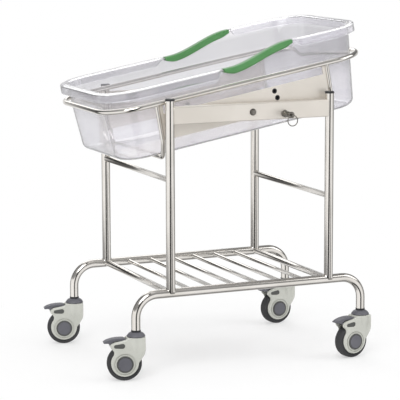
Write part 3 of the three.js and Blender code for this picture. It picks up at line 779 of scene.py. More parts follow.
# %% Turned piece
def turned(outline, sides=48, hollow=False):
    """Builds about Z from (radius, height) points; a hollow outline comes back to its start."""
    radius, height = outline[0]
    fresh()
    bpy.ops.mesh.primitive_circle_add(
        vertices=sides, radius=radius, location=(0, 0, height),
        fill_type="NOTHING" if hollow else "NGON",
    )
    apply_place()
    edit_all()
    for next_radius, next_height in outline[1:] + (outline[:1] if hollow else []):
        bpy.ops.mesh.extrude_region_move(
            TRANSFORM_OT_translate={"value": (0, 0, next_height - height)}
        )
        scale = next_radius / radius
        bpy.ops.transform.resize(value=(scale, scale, 1), center_override=(0, 0, next_height))
        radius, height = next_radius, next_height
    return settle()


def arc(centre, radius, first, last, steps):
    """Points on an arc, with angles in degrees."""
    angles = [math.radians(first + (last - first) * k / steps) for k in range(steps + 1)]
    return [
        (centre[0] + radius * math.cos(angle), centre[1] + radius * math.sin(angle))
        for angle in angles
    ]


def point_along_y(place, outward):
    """Turns Z to the given way along Y and moves it to a place."""
    return Matrix.Translation(place) @ Matrix.Rotation(math.radians(-90 * outward), 4, "X")


# %% [markdown]
# Each upright is closed by a black cap with a low dome. Its skirt reaches a little way down the
# outside of the tube.

# %% Upright caps
CAP_SKIRT, CAP_ROUND, CAP_FLAT = 0.0024, 0.0022, 0.004
CAP_SEAT = 0.0002
# A sleeve that fits over the frame tube.
sleeve_in, sleeve_out = tube_radius + 0.0001, tube_radius + 0.0006

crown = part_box("upright_cap_front_left")[1].z
cap = turned(
    [
        (sleeve_in, upright_top + CAP_SEAT), (sleeve_in, upright_top - CAP_SKIRT),
        (sleeve_out, upright_top - CAP_SKIRT),
        *arc((sleeve_out - CAP_ROUND, crown - CAP_ROUND), CAP_ROUND, 0, 85, 5),
        (CAP_FLAT, crown),
    ],
    TUBE_SIDES,
)
spread(cap, "frame", black, "black_plastic", [
    (f"cap_{place}", upright_at[place], f"upright_cap_{place}") for place in PLACES
])

# %% [markdown]
# The pivot bolt shows a washer and a domed hexagon on the face of the side bar. The hexagon is a
# six-sided cylinder with its edges softened. Its nut and spacer are behind the bar, where the
# frame's own nodes are right and only need the finish.

# %% Pivot bolts
WASHER_RADIUS, WASHER_TOP = 0.0095, 0.0016
HEX_RADIUS, HEX_LOW, HEX_ROUND = 0.0080, 0.0015, 0.0009
SHANK_RADIUS = 0.005


def hexagon(radius, low, high, edge):
    fresh()
    bpy.ops.mesh.primitive_cylinder_add(
        vertices=6, radius=radius, depth=high - low, location=(0, 0, (low + high) / 2)
    )
    nut = apply_place()
    soften(nut, edge)
    return nut


bar_faces = {"front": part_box("side_bar_front")[0].y, "rear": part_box("side_bar_rear")[1].y}
bolt_low, bolt_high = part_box("pivot_bolt_front")
rise, depth = bar_faces["front"] - bolt_low.y, bolt_high.y - bar_faces["front"]
shank = turned([(SHANK_RADIUS, -depth), (SHANK_RADIUS, rise * 0.3)], 32)
washer = turned(
    [
        (WASHER_RADIUS, 0.0003), (WASHER_RADIUS, WASHER_TOP - 0.0004),
        (WASHER_RADIUS - 0.0006, WASHER_TOP),
    ],
    40,
)
head = joined(hexagon(HEX_RADIUS, HEX_LOW, rise, HEX_ROUND), washer, shank)
spread(head, "frame", plated, "polished_steel", [
    (
        f"pivot_head_{side}", point_along_y((pivot.x, bar_faces[side], pivot.z), outward),
        f"pivot_bolt_{side}",
    )
    for side, outward in zip(SIDES, (-1, 1))
])
for side in SIDES:
    for behind in ("nut", "spacer"):
        paint(nodes[f"pivot_{behind}_{side}"], polished)

# %% [markdown]
# ## Index plunger
# A threaded barrel with a lock nut sits in the front bar. Its knob pulls the pin out of a hole in
# the cradle's plate, and a wire ring hangs from an eye in the knob's end. The thread is cut by
# alternating two radii along the barrel.

# %% Plunger barrel
THREAD_DEPTH, THREAD_HALF_TURNS = 0.0005, 14
THREAD_FROM, THREAD_SHY = 0.0075, 0.0015
BARREL_RADIUS, BARREL_BORE, BARREL_PLAIN = 0.0080, 0.0044, 0.0060
NUT_RADIUS, NUT_LOW, NUT_HIGH, NUT_ROUND = 0.011, 0.0002, 0.0062, 0.0008

pin_low, pin_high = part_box("plunger_pin")
bar_face = bar_faces["front"]
pin_axis = Vector((middle("plunger_pin").x, bar_face, middle("plunger_pin").z))
along_pin = point_along_y(pin_axis, -1)
barrel_out = bar_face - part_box("plunger_barrel")[0].y
thread_step = (barrel_out - THREAD_SHY - THREAD_FROM) / THREAD_HALF_TURNS
thread = [
    (BARREL_RADIUS - THREAD_DEPTH * (k % 2), THREAD_FROM + thread_step * k)
    for k in range(THREAD_HALF_TURNS + 1)
]
barrel = turned(
    [
        (BARREL_BORE, -bar_size.y), (BARREL_RADIUS, -bar_size.y), (BARREL_RADIUS, BARREL_PLAIN),
        *thread, (BARREL_RADIUS - 0.0012, barrel_out), (BARREL_BORE, barrel_out),
    ],
    40, hollow=True,
)
joined(barrel, hexagon(NUT_RADIUS, NUT_LOW, NUT_HIGH, NUT_ROUND))
barrel.data.transform(along_pin)
hand_over(barrel, "index_barrel", "frame", plated, "plunger_steel", "plunger_barrel")
print("barrel:", round(barrel_out, 4), "m out of the bar")

# %% [markdown]
# The pin, the waisted knob and the lug at its end are one turned piece. The eye for the ring is
# then drilled through the lug.

# %% Plunger knob
KNOB_GAP, KNOB_LONG = 0.0002, 0.017
PIN_RADIUS, KNOB_NECK, KNOB_RADIUS, LUG_RADIUS = 0.0040, 0.0070, 0.0090, 0.0042
# Radius at a share of the knob's length.
KNOB_WAIST = [
    (KNOB_NECK, 0.0), (KNOB_NECK, 0.38), (0.0076, 0.44), (0.0088, 0.54), (KNOB_RADIUS, 0.60),
]
EYE_RADIUS, EYE_IN, DRILL_LONG = 0.0024, 0.0045, 0.03

knob_foot = barrel_out + KNOB_GAP
knob_end = knob_foot + KNOB_LONG
pin_tip, lug_end = bar_face - pin_high.y, bar_face - pin_low.y
knob = turned(
    [
        (PIN_RADIUS - 0.0006, pin_tip), (PIN_RADIUS, pin_tip + 0.0006), (PIN_RADIUS, knob_foot),
        *((radius, knob_foot + KNOB_LONG * share) for radius, share in KNOB_WAIST),
        (KNOB_RADIUS, knob_end - 0.0022), (KNOB_RADIUS - 0.0004, knob_end - 0.0010),
        (KNOB_RADIUS - 0.0015, knob_end), (LUG_RADIUS, knob_end), (LUG_RADIUS, lug_end - 0.0012),
        (LUG_RADIUS - 0.0008, lug_end),
    ],
    40,
)
knob.data.transform(along_pin)
fresh()
bpy.ops.mesh.primitive_cylinder_add(
    vertices=20, radius=EYE_RADIUS, depth=DRILL_LONG,
    location=(pin_axis.x, pin_low.y + EYE_IN, pin_axis.z), rotation=(0, math.pi / 2, 0),
)
carve(knob, apply_place())
only(knob)
smooth(35)
hand_over(knob, "index_knob", "plunger", plated, "plunger_steel", "plunger_pin")
print("knob:", len(knob.data.polygons), "faces")

# %% [markdown]
# The pull ring is bent wire. A torus gives its round. The two ends of the wire meet at the bottom,
# so a short run there is pinched in to show the butt of the wire.

# %% Pull ring
WIRE_SWELL = 1.12
BUTT_ANGLE, BUTT_PINCH = 0.06, 0.8

ring_middle, ring_size = middle("pull_ring"), extent("pull_ring")
wire = ring_size.y / 2 * WIRE_SWELL
loop_radius = ring_size.x / 2 - wire
fresh()
bpy.ops.mesh.primitive_torus_add(
    major_radius=loop_radius, minor_radius=wire, major_segments=64, minor_segments=12,
    location=ring_middle, rotation=(math.pi / 2, 0, 0),
)
pull = apply_place()
for vertex in pull.data.vertices:
    spoke = vertex.co - ring_middle
    if abs(math.atan2(spoke.x, -spoke.z)) < BUTT_ANGLE:
        flat = Vector((spoke.x, 0, spoke.z)).normalized() * loop_radius
        vertex.co = ring_middle + flat + (spoke - flat) * BUTT_PINCH
settle()
hand_over(pull, "pull_loop", "pull_ring_body", plated, "polished_steel", "pull_ring")
print("pull ring: radius", round(loop_radius, 4), "m")

# %% [markdown]
# ## Cradle
# The ring is one closed tube with four wide bends, and two narrower tubes hang from it under the
# tub. Both are bent in the cradle's own level frame first, and then tilted about the pivot, so the
# sizes stay square.

# %% Cradle tubes
RING_HEIGHT, RING_HALF_LONG, RING_HALF_WIDE = 0.077, 0.394, 0.219
RING_BEND, RING_TUBE = 0.101, 0.007
HANGER_AT, HANGER_TUBE = 0.259, 0.006
HANGER_KNEE, HANGER_FOOT_WIDE = -0.028, 0.197
KNEE_BEND, FOOT_BEND = 0.030, 0.022
TUB_DEPTH = 0.145
REST = 0.0002

ring = bent_tube(
    [
        (way_x * RING_HALF_LONG, way_y * RING_HALF_WIDE, RING_HEIGHT)
        for way_x, way_y in ((-1, -1), (1, -1), (1, 1), (-1, 1))
    ],
    [RING_BEND] * 4, RING_TUBE, closed=True,
)
ring.data.transform(CRADLE)
hand_over(ring, "cradle_loop", "cradle", polished, "polished_steel", "cradle_ring")
print("cradle ring:", len(ring.data.polygons), "faces")

tub_low = RING_HEIGHT - TUB_DEPTH
hanger_front = [
    (0, -RING_HALF_WIDE, RING_HEIGHT - RING_TUBE / 4),
    (0, -RING_HALF_WIDE, HANGER_KNEE),
    (0, -HANGER_FOOT_WIDE, tub_low - REST - HANGER_TUBE),
]
hanger_rear = [(x, -y, z) for x, y, z in reversed(hanger_front)]
hanger = bent_tube(
    hanger_front + hanger_rear, [KNEE_BEND, FOOT_BEND, FOOT_BEND, KNEE_BEND], HANGER_TUBE
)
spread(hanger, "cradle", polished, "polished_steel", [
    (f"hanger_tube_{end}", CRADLE @ moved(x=way * HANGER_AT), f"cradle_hanger_{end}")
    for end, way in zip(ENDS, (-1, 1))
])

# %% [markdown]
# The two side plates are flat sheet with drilled holes, and the frame's nodes are already right.
# They stay, take the satin finish and get a very small bevel as a modifier, after a weld of their
# loose triangles.

# %% Side plates
PLATE_WELD = 0.00001
PLATE_EDGE = 0.0004

for side in SIDES:
    plate = nodes[f"cradle_plate_{side}"]
    paint(plate, satin)
    weld = plate.modifiers.new("weld", "WELD")
    weld.merge_threshold = PLATE_WELD
    edge = plate.modifiers.new("edge", "BEVEL")
    edge.width = PLATE_EDGE
    edge.segments = 2
    edge.limit_method = "ANGLE"
    edge.angle_limit = math.radians(60)
print("plates:", len(SIDES), "in satin")

# %% [markdown]
# The index holes look black in the photograph. Each has a dark plastic bush with a thin collar on
# the face of the plate, which takes the tip of the plunger's pin. One bush is turned and copied to
# the arc of holes round the pivot.

# %% Index bushes
INDEX_RADIUS, INDEX_PITCH, INDEX_COUNT = 0.096, math.radians(12.3), 4
INDEX_FIRST = math.radians(-5.1) - TILT
PLATE_INSIDE = RING_HALF_WIDE - 0.0015
BUSH_RADIUS, BUSH_BACK, BUSH_SEAT = 0.0082, 0.0075, 0.0001
BUSH_NECK, BUSH_BORE, BORE_FLOOR = 0.0059, 0.0044, 0.006
COLLAR_RADIUS, COLLAR_SEAT, COLLAR_FACE = 0.0074, -0.00302, -0.0033

bush = turned(
    [
        (BUSH_RADIUS - 0.0004, BUSH_BACK), (BUSH_RADIUS, BUSH_BACK - 0.0005),
        (BUSH_RADIUS, BUSH_SEAT), (BUSH_NECK, BUSH_SEAT), (BUSH_NECK, COLLAR_SEAT),
        (COLLAR_RADIUS, COLLAR_SEAT), (COLLAR_RADIUS, COLLAR_FACE + 0.0002),
        (COLLAR_RADIUS - 0.0003, COLLAR_FACE), (BUSH_BORE + 0.0002, COLLAR_FACE),
        (BUSH_BORE, COLLAR_FACE + 0.0002), (BUSH_BORE, BORE_FLOOR),
    ],
    32,
)
index_angles = [INDEX_FIRST + k * INDEX_PITCH for k in range(INDEX_COUNT)]
index_spots = [
    (INDEX_RADIUS * math.cos(angle), -PLATE_INSIDE, INDEX_RADIUS * math.sin(angle))
    for angle in index_angles
]
spread(bush, "cradle", black, "black_plastic", [
    (f"index_bush_{k + 1}", CRADLE @ point_along_y(spot, 1)) for k, spot in enumerate(index_spots)
])

# %% [markdown]
# ## Tub
# The clear tub is a moulded shell: a flat floor, walls with draft, a rim with a lip turned down,
# and a step where the rim climbs to the head end. Extruding a box would give flat sides only, so a
# profile is carried round a rounded rectangle instead. The profile goes from under the floor, up
# the outside, over the rim and down the inside, and every bend in it is a small arc.

# %% Tub sizes
TUB_GAP = 0.009
TUB_WALL = 0.004
TUB_DRAFT = math.tan(math.radians(4.2))
FLOOR_FILLET = 0.022
RIM_LOW, RIM_HIGH = 0.050, 0.087
RIM_OUT, RIM_LIP, RIM_ROUND = 0.022, 0.024, 0.003
STEP_START, STEP_END = -0.027, 0.160
GRIP_START, GRIP_END = -0.046, 0.166
GRIP_SKIN, GRIP_HEIGHT, GRIP_IN = 0.004, 0.019, 0.005
BEAD_OUT, BEAD_LIP = 0.005, 0.0048
FLANGE_FADE, FLANGE_CLEAR = 0.026, 0.003
RUN_GAP = 0.0004

corner_x = RING_HALF_LONG - RING_BEND
corner_y = RING_HALF_WIDE - RING_BEND
corner_radius = RING_BEND - RING_TUBE - TUB_GAP
wall_y = corner_y + corner_radius
print("tub: corners of", round(corner_radius, 4), "m")

# %% [markdown]
# The profile is given as steps out from the wall line and heights. Where the rim has its wide
# flange the share of flange is 1, and under a grip the rim is sunk by the grip's skin.


# %% Tub profile
def ease(t):
    """A share from 0 to 1 with a soft start and end."""
    return t * t * (3 - 2 * t)


def draft_at(z):
    return (z - RING_HEIGHT) * TUB_DRAFT


def rim_at(x):
    """Height of the rim, with a smooth step between the foot and the head end."""
    t = min(max((x - STEP_START) / (STEP_END - STEP_START), 0), 1)
    return RING_HEIGHT + RIM_LOW + (RIM_HIGH - RIM_LOW) * ease(t)


def tub_profile(x, flange, sunk):
    """(offset from the wall line, height) from under the floor, over the rim, to the inside."""
    top = rim_at(x) - GRIP_SKIN * sunk
    wall_top = draft_at(top)
    reach = wall_top + BEAD_OUT + (RIM_OUT - wall_top - BEAD_OUT) * flange
    lip = BEAD_LIP + (RIM_LIP - BEAD_LIP) * flange
    outer_edge = draft_at(tub_low)
    inner_low = tub_low + TUB_WALL
    inner_edge = draft_at(inner_low) - TUB_WALL
    inner_fillet = FLOOR_FILLET - TUB_WALL
    half = TUB_WALL / 2
    under = top - TUB_WALL
    return [
        *arc((outer_edge - FLOOR_FILLET, tub_low + FLOOR_FILLET), FLOOR_FILLET, -90, 0, 8),
        (draft_at(under - RIM_ROUND), under - RIM_ROUND),
        (draft_at(under) + 0.0004 + 0.0008 * flange, under - 0.0004),
        (draft_at(under) + 0.0006 + 0.0024 * flange, under),
        (reach - TUB_WALL - 0.0002 - 0.0004 * flange, under),
        (reach - TUB_WALL, under - 0.0002 - 0.0004 * flange),
        *arc((reach - half, top - lip + half), half, 180, 360, 6),
        *arc((reach - RIM_ROUND, top - RIM_ROUND), RIM_ROUND, 0, 90, 5),
        *arc((wall_top - TUB_WALL + RIM_ROUND, top - RIM_ROUND), RIM_ROUND, 90, 180, 5),
        *arc((inner_edge - inner_fillet, inner_low + inner_fillet), inner_fillet, 0, -90, 8),
    ]


print("tub profile:", len(tub_profile(0, 1, 0)), "points")

# %% [markdown]
# The stations run round the tub. Along the long sides they are close together on the step, and at
# the grips the wide flange gives way to a small bead that the grip straddles.

# %% Tub stations
CORNER_STEPS = 14
SIDE_STEPS = 36
FADE_STEPS = 8


def tub_stations():
    """(corner's or side's point, way out, share of flange, sunk or not) round the tub."""
    stations = []

    def add_corner(way_x, way_y, first):
        for k in range(CORNER_STEPS + 1):
            angle = first + math.pi / 2 * k / CORNER_STEPS
            stations.append(
                (way_x * corner_x, way_y * corner_y, math.cos(angle), math.sin(angle), 1, 0)
            )

    def add_side(way_y):
        shares = [1 - k / FADE_STEPS for k in range(FADE_STEPS + 1)]
        fades = [(FLANGE_CLEAR + FLANGE_FADE * t, ease(t)) for t in shares]
        run = [(GRIP_START - out, flange, 0) for out, flange in fades]
        run.append((GRIP_START - FLANGE_CLEAR / 3, 0, 1))
        run += [
            (GRIP_START + (GRIP_END - GRIP_START) * k / SIDE_STEPS, 0, 1)
            for k in range(1, SIDE_STEPS)
        ]
        run.append((GRIP_END + FLANGE_CLEAR / 3, 0, 1))
        run += [(GRIP_END + out, flange, 0) for out, flange in reversed(fades)]
        for x, flange, sunk in run if way_y < 0 else reversed(run):
            stations.append((x, way_y * corner_y, 0, way_y, flange, sunk))

    add_corner(-1, -1, math.pi)
    add_side(-1)
    add_corner(1, -1, 1.5 * math.pi)
    add_corner(1, 1, 0)
    add_side(1)
    add_corner(-1, 1, 0.5 * math.pi)
    return stations


print("tub:", len(tub_stations()), "stations")

# %% [markdown]
# A profile at each station is a ring of points, and faces between neighbouring rings make the
# skin. The shell casts no shadow and is left out of reflections, so that the plates and tubes
# behind it look as bright as in the photograph.


# %% Tub shell
def lofted(rings, closed_round, name):
    """A mesh through rings of points: round a closed route, or along an open one with end faces."""
    size = len(rings[0])
    points = [p for ring in rings for p in ring]
    faces = []
    for i in range(len(rings) if closed_round else len(rings) - 1):
        j = (i + 1) % len(rings)
        for k in range(size - 1 if closed_round else size):
            n = (k + 1) % size
            faces.append((i * size + k, j * size + k, j * size + n, i * size + n))
    if closed_round:
        faces.append([i * size for i in range(len(rings))])
        faces.append([i * size + size - 1 for i in range(len(rings))])
    else:
        faces.append(list(range(size)))
        faces.append([(len(rings) - 1) * size + k for k in range(size)])
    mesh = bpy.data.meshes.new(name)
    mesh.from_pydata(points, [], faces)
    made_piece = bpy.data.objects.new(name, mesh)
    bpy.context.scene.collection.objects.link(made_piece)
    only(made_piece)
    return settle()


tub_rings = []
for x, y, out_x, out_y, flange, sunk in tub_stations():
    tub_rings.append([
        (x + (corner_radius + offset) * out_x, y + (corner_radius + offset) * out_y, z)
        for offset, z in tub_profile(x, flange, sunk)
    ])
tub = lofted(tub_rings, True, "clear_tub_shell")
tub.data.transform(CRADLE)
tub.visible_shadow = False
tub.visible_glossy = False
hand_over(tub, "clear_tub_shell", "basin", clear, "clear_plastic", "tub")
print("tub:", len(tub.data.polygons), "faces")

# %% [markdown]
# The clear plastic gets a painted shade: it is darker at the height of the lower rim than near the
# floor of the tub or at the raised head end. The height along the tub's own axis, measured on its
# points, mixes that painted shade into the tone.

# %% Painted shade on the tub
# Painted shade: brightness at a share of the tub's height.
TUB_PAINTED_SHADE = [(0.35, 1.0), (0.72, 0.79), (0.86, 0.79), (0.93, 0.96)]

tub_up = CRADLE.to_3x3() @ Vector((0, 0, 1))
heights = [point.co.dot(tub_up) for point in tub.data.vertices]
low, tall = min(heights), max(heights) - min(heights)
made, wires = clear.node_tree.nodes, clear.node_tree.links
base_colour = made["Principled BSDF"].inputs["Base Color"]
where = add(made, "TexCoord")
height = add(made, "VectorMath", "DOT_PRODUCT")
height.inputs[1].default_value = tub_up
share = add(made, "MapRange", From_Min=low, From_Max=low + tall)
painted_shade_ramp = add_ramp(made, TUB_PAINTED_SHADE)
join_up(
    wires,
    (where.outputs["Object"], height.inputs[0]),
    (height.outputs["Value"], share.inputs["Value"]),
    (share.outputs["Result"], painted_shade_ramp.inputs["Fac"]),
)
tone = base_colour.links[0].from_socket
# The painted shade multiplies the tub's own tone.
wires.new(add_product(made, wires, tone, painted_shade_ramp.outputs["Color"]), base_colour)
print("tub: height along its own axis", round(tall, 4), "m")

# %% [markdown]
# ## Grips
# A green grip straddles the bead on each long side and follows the step as a long S. Its section
# is a rounded hook with a slot, carried along the rim. Towards both ends the outer skirt gets
# shorter, so each end runs out in a point.

# %% Grips
GRIP_STEPS = 48
GRIP_ROUND = 0.006
GRIP_TAPER = 0.032
GRIP_TIP = 0.56
GRIP_BACK, SKIRT_LEAST, INNER_ROUND = 0.001, 0.004, 0.003


def grip_section(x):
    """(across, up) points of the hook, measured from the top outer edge of the tub's bead."""
    wall_top = draft_at(rim_at(x) - GRIP_SKIN)
    from_end = min(x - GRIP_START, GRIP_END - x) / GRIP_TAPER
    t = min(max(from_end, 0), 1)
    fullness = GRIP_TIP + (1 - GRIP_TIP) * math.sin(t * math.pi / 2)
    low = GRIP_SKIN - GRIP_HEIGHT * fullness
    step = max(-BEAD_LIP - RUN_GAP, low + 0.001)
    least, full = BEAD_OUT + SKIRT_LEAST, RIM_OUT - GRIP_BACK - wall_top
    outer = least + (full - least) * math.sqrt(fullness)
    inner = -TUB_WALL - GRIP_IN
    left, right = -TUB_WALL - RUN_GAP, BEAD_OUT + RUN_GAP
    curl = min(GRIP_ROUND, (GRIP_SKIN - low) / 2)
    thin = min(INNER_ROUND, (GRIP_SKIN - low) / 3)
    return [
        (left + TUB_DRAFT * low, low + 0.0005),
        (left, RUN_GAP),
        (right, RUN_GAP),
        (right, step),
        (RUN_GAP, step - 0.0002),
        (RUN_GAP + TUB_DRAFT * low, low),
        *arc((outer - curl, low + curl), curl, -90, 0, 6),
        *arc((outer - curl, GRIP_SKIN - curl), curl, 0, 90, 6),
        *arc((inner + thin, GRIP_SKIN - thin), thin, 90, 180, 5),
        (inner, low + 0.002),
        (inner + 0.001, low + 0.0005),
    ]


for side, way in zip(SIDES, (-1, 1)):
    rings = []
    for k in range(GRIP_STEPS + 1):
        x = GRIP_START + (GRIP_END - GRIP_START) * k / GRIP_STEPS
        top = rim_at(x) - GRIP_SKIN
        rings.append([
            (x, way * (wall_y + draft_at(top) + across), top + up) for across, up in grip_section(x)
        ])
    grip = lofted(rings, False, f"s_grip_{side}")
    grip.data.transform(CRADLE)
    hand_over(grip, f"s_grip_{side}", "basin", green, "green_plastic", f"grip_{side}")
print("grips:", len(SIDES))

# %% [markdown]
# ## Castors
# One castor is modelled in its own frame, with its swivel on Z and its trail along X, and copied to
# the four legs. Its flat pieces start as a side outline whose corners are rounded in the plane and
# which is then extruded to its width.

# %% Castor sizes
WHEEL_RADIUS, WHEEL_HALF, TRAIL = 0.0475, 0.0155, 0.0325
WELL_RADIUS, WELL_HALF, CHEEK_HALF = 0.050, 0.0165, 0.022
NECK_RADIUS, NECK_TOP = 0.0253, 0.1193
SLOT_HALF, PEDAL_HALF = 0.0145, 0.0125
HUB_CAP_RADIUS, HUB_CAP_OUT = 0.023, 0.003
LOBE_UP, LOBE_RADIUS = 0.051, 0.038
SEAT_GAP = 0.0003


def flat_sheet(outline, low, high, round_corners=(), round_by=0):
    """An outline in X and Z with some corners rounded, given a thickness along Y."""
    fresh()
    bpy.ops.mesh.primitive_circle_add(vertices=len(outline), fill_type="NGON", radius=0.1)
    sheet = bpy.context.object
    order = list(sheet.data.polygons[0].vertices)
    for index, (x, z) in zip(order, outline):
        sheet.data.vertices[index].co = (x, low, z)
    edit_some(lambda: [sheet.data.vertices[order[number]] for number in round_corners])
    if round_by:
        bpy.ops.mesh.bevel(offset=round_by, segments=5, affect="VERTICES", clamp_overlap=True)
    bpy.ops.mesh.select_all(action="SELECT")
    bpy.ops.mesh.extrude_region_move(TRANSFORM_OT_translate={"value": (0, high - low, 0)})
    return settle(30)


def cross_pin(x, z, low, high, radius, sides=64):
    """A round cutter along Y."""
    fresh()
    bpy.ops.mesh.primitive_cylinder_add(
        vertices=sides, radius=radius, depth=high - low, location=(x, (low + high) / 2, z),
        rotation=(math.pi / 2, 0, 0),
    )
    return apply_place()


print("castor: trail", TRAIL, "m, wheel radius", WHEEL_RADIUS, "m")

# %% [markdown]
# The housing is one moulding round the wheel. The lobe beside the wheel is an arc, the crown above
# it and the heel behind it are rounded outlines, and a turned neck is joined on for the stem. The
# wheel well, the pedal's slot and the window are then cut out.

# %% Castor housing
HOUSING_CORNER, HOUSING_EDGE = 0.0025, 0.0038
SLOT_FROM, SLOT_TO, SLOT_FLOOR, SLOT_TOP = NECK_RADIUS + 0.0015, 0.12, 0.07, 0.14
CUT_PAST = 0.005
HOUSING_SMOOTH = 32

lobe = arc((TRAIL, LOBE_UP), LOBE_RADIUS, 182, 382, 40)
crown = [
    (0.062, 0.074), (0.0615, 0.081), (0.066, 0.088), (0.071, 0.092), (0.0728, 0.0975),
    (0.070, 0.1035), (0.059, 0.1083), (0.043, 0.111), (0.029, 0.1145), (0.0243, NECK_TOP),
]
heel = [(-0.0243, NECK_TOP), (-0.0243, 0.084), (-0.022, 0.074), (-0.015, 0.063)]
outline = heel + lobe + crown
rounded = [1, 2, 3] + list(range(len(heel) + len(lobe), len(outline) - 1))
housing = flat_sheet(outline, -CHEEK_HALF, CHEEK_HALF, rounded, HOUSING_CORNER)
soften(housing, HOUSING_EDGE, 5, 60)
neck = turned(
    [
        (0.0214, 0.074), (0.0234, 0.085), (0.0246, 0.092), (NECK_RADIUS, 0.099),
        (NECK_RADIUS, 0.1185), (NECK_RADIUS - 0.0008, NECK_TOP),
    ],
    64,
)
carve(housing, neck, "UNION")
carve(housing, cross_pin(TRAIL, WHEEL_RADIUS, -WELL_HALF, WELL_HALF, WELL_RADIUS, 96))
slot_side = [
    (SLOT_FROM, SLOT_FLOOR), (SLOT_TO, SLOT_FLOOR), (SLOT_TO, SLOT_TOP), (SLOT_FROM, SLOT_TOP),
]
carve(housing, flat_sheet(slot_side, -SLOT_HALF, SLOT_HALF))
window = arc((0.039, 0.098), 0.007, 90, 270, 12) + arc((0.0575, 0.0972), 0.005, -90, 90, 10)
carve(housing, flat_sheet(window, -CHEEK_HALF - CUT_PAST, CHEEK_HALF + CUT_PAST))
only(housing)
smooth(HOUSING_SMOOTH)
print("castor housing:", len(housing.data.polygons), "faces")

# %% [markdown]
# Round the hub cap a groove is cut into each cheek, and a dark plate fills the window just
# under its edge. The plate is painted shade: it stands for the shadowed inside of the window.

# %% Groove and window plate of painted shade
GROOVE_IN, GROOVE_OUT, GROOVE_DEEP, GROOVE_PAST = 0.0268, 0.0296, 0.0026, 0.002
PLATE_DEEP, PLATE_THICK, PLATE_ROUND = 0.0012, 0.0022, 0.0005

plates = []
for outward in (-1, 1):
    cutter = turned(
        [
            (GROOVE_IN, -GROOVE_DEEP), (GROOVE_OUT, -GROOVE_DEEP), (GROOVE_OUT, GROOVE_PAST),
            (GROOVE_IN, GROOVE_PAST),
        ],
        64, hollow=True,
    )
    cutter.data.transform(point_along_y((TRAIL, outward * CHEEK_HALF, WHEEL_RADIUS), outward))
    carve(housing, cutter)
    face = CHEEK_HALF - PLATE_DEEP
    low, high = sorted((outward * face, outward * (face - PLATE_THICK)))
    # A dark plate in each window, painted shade for the window's shadowed inside.
    plate = flat_sheet(window, low, high)
    soften(plate, PLATE_ROUND, 2, 50)
    plates.append(plate)
only(housing)
smooth(HOUSING_SMOOTH)
window_shade_plate = joined(*plates)
print("housing with grooves:", len(housing.data.polygons), "faces")

# %% [markdown]
# The wheel is a grey rubber tyre on a moulded disc. Both are turned about the axle: the tyre has
# round shoulders and a shallow bead line, and the disc a thicker rim and hub.

# %% Wheel
TYRE_IN, TYRE_SHOULDER = 0.031, 0.006
AXLE_BORE, HUB_RADIUS = 0.0064, 0.012


def mirrored(outline):
    """An outline up to the middle of a wheel, and its mirror image after it."""
    return outline + [(radius, -height) for radius, height in reversed(outline)]


face = -WHEEL_HALF
tyre_round = turned(
    mirrored([
        (TYRE_IN, face + 0.001), (TYRE_IN + 0.002, face), (TYRE_IN + 0.006, face),
        (TYRE_IN + 0.0065, face + 0.0006), (TYRE_IN + 0.0070, face),
        *arc(
            (WHEEL_RADIUS - TYRE_SHOULDER - 0.0005, face + TYRE_SHOULDER), TYRE_SHOULDER, -90, -8, 7
        ),
        (WHEEL_RADIUS, face / 2.6),
    ]),
    96, hollow=True,
)
disc = turned(
    mirrored([
        (AXLE_BORE, face), (HUB_RADIUS, face), (HUB_RADIUS + 0.001, face + 0.003),
        (0.026, face + 0.004), (0.0275, face + 0.0015), (TYRE_IN + 0.0005, face + 0.0015),
    ]),
    64, hollow=True,
)
for piece in (tyre_round, disc):
    piece.data.transform(point_along_y((TRAIL, 0, WHEEL_RADIUS), 1))
print("wheel:", len(tyre_round.data.polygons), "and", len(disc.data.polygons), "faces")

# %% [markdown]
# The axle is closed by a hub cap on each cheek: a flat disc in a ring with a rounded edge. The
# ring's darker grey is painted shade round the cap. A thin axle joins the two discs.

# %% Axle with hub caps
RING_WIDE, RING_FIT, RING_ROUND = 0.0042, 0.0002, 0.0014
AXLE_RADIUS = 0.006
cap_in = CHEEK_HALF + 0.0002
cap_out = cap_in + HUB_CAP_OUT
ring_out, ring_in = HUB_CAP_RADIUS, HUB_CAP_RADIUS - RING_WIDE
disc_out = ring_in - RING_FIT

axle = turned([(AXLE_RADIUS, -cap_in), (AXLE_RADIUS, cap_in)], 32)
axle.data.transform(point_along_y((TRAIL, 0, WHEEL_RADIUS), 1))
discs, rings = [], []
for outward in (-1, 1):
    discs.append(turned(
        [
            (disc_out - 0.0004, cap_in), (disc_out, cap_in + 0.0004), (disc_out, cap_out - 0.0008),
            (disc_out - 0.0006, cap_out - 0.0003), (AXLE_RADIUS, cap_out),
        ],
        64,
    ))
    # The ring round each hub cap, in a dark grey that paints shade at the cap's edge.
    rings.append(turned(
        [
            (ring_in, cap_in), (ring_out - 0.001, cap_in), (ring_out, cap_in + 0.0004),
            *arc((ring_out - RING_ROUND, cap_out - 0.0020), RING_ROUND, 0, 80, 4),
            (ring_out - 0.0026, cap_out - 0.0007), (ring_in, cap_out - 0.0014),
        ],
        64, hollow=True,
    ))
    for piece in (discs[-1], rings[-1]):
        piece.data.transform(point_along_y((TRAIL, 0, WHEEL_RADIUS), outward))
joined(axle, *discs)
hub_shade_ring = joined(*rings)
print("hub caps:", len(axle.data.polygons), "faces with the axle")

# %% [markdown]
# The brake pedal is a curved tread on a hinge. Its side outline is rounded, extruded to the slot's
# width and softened.

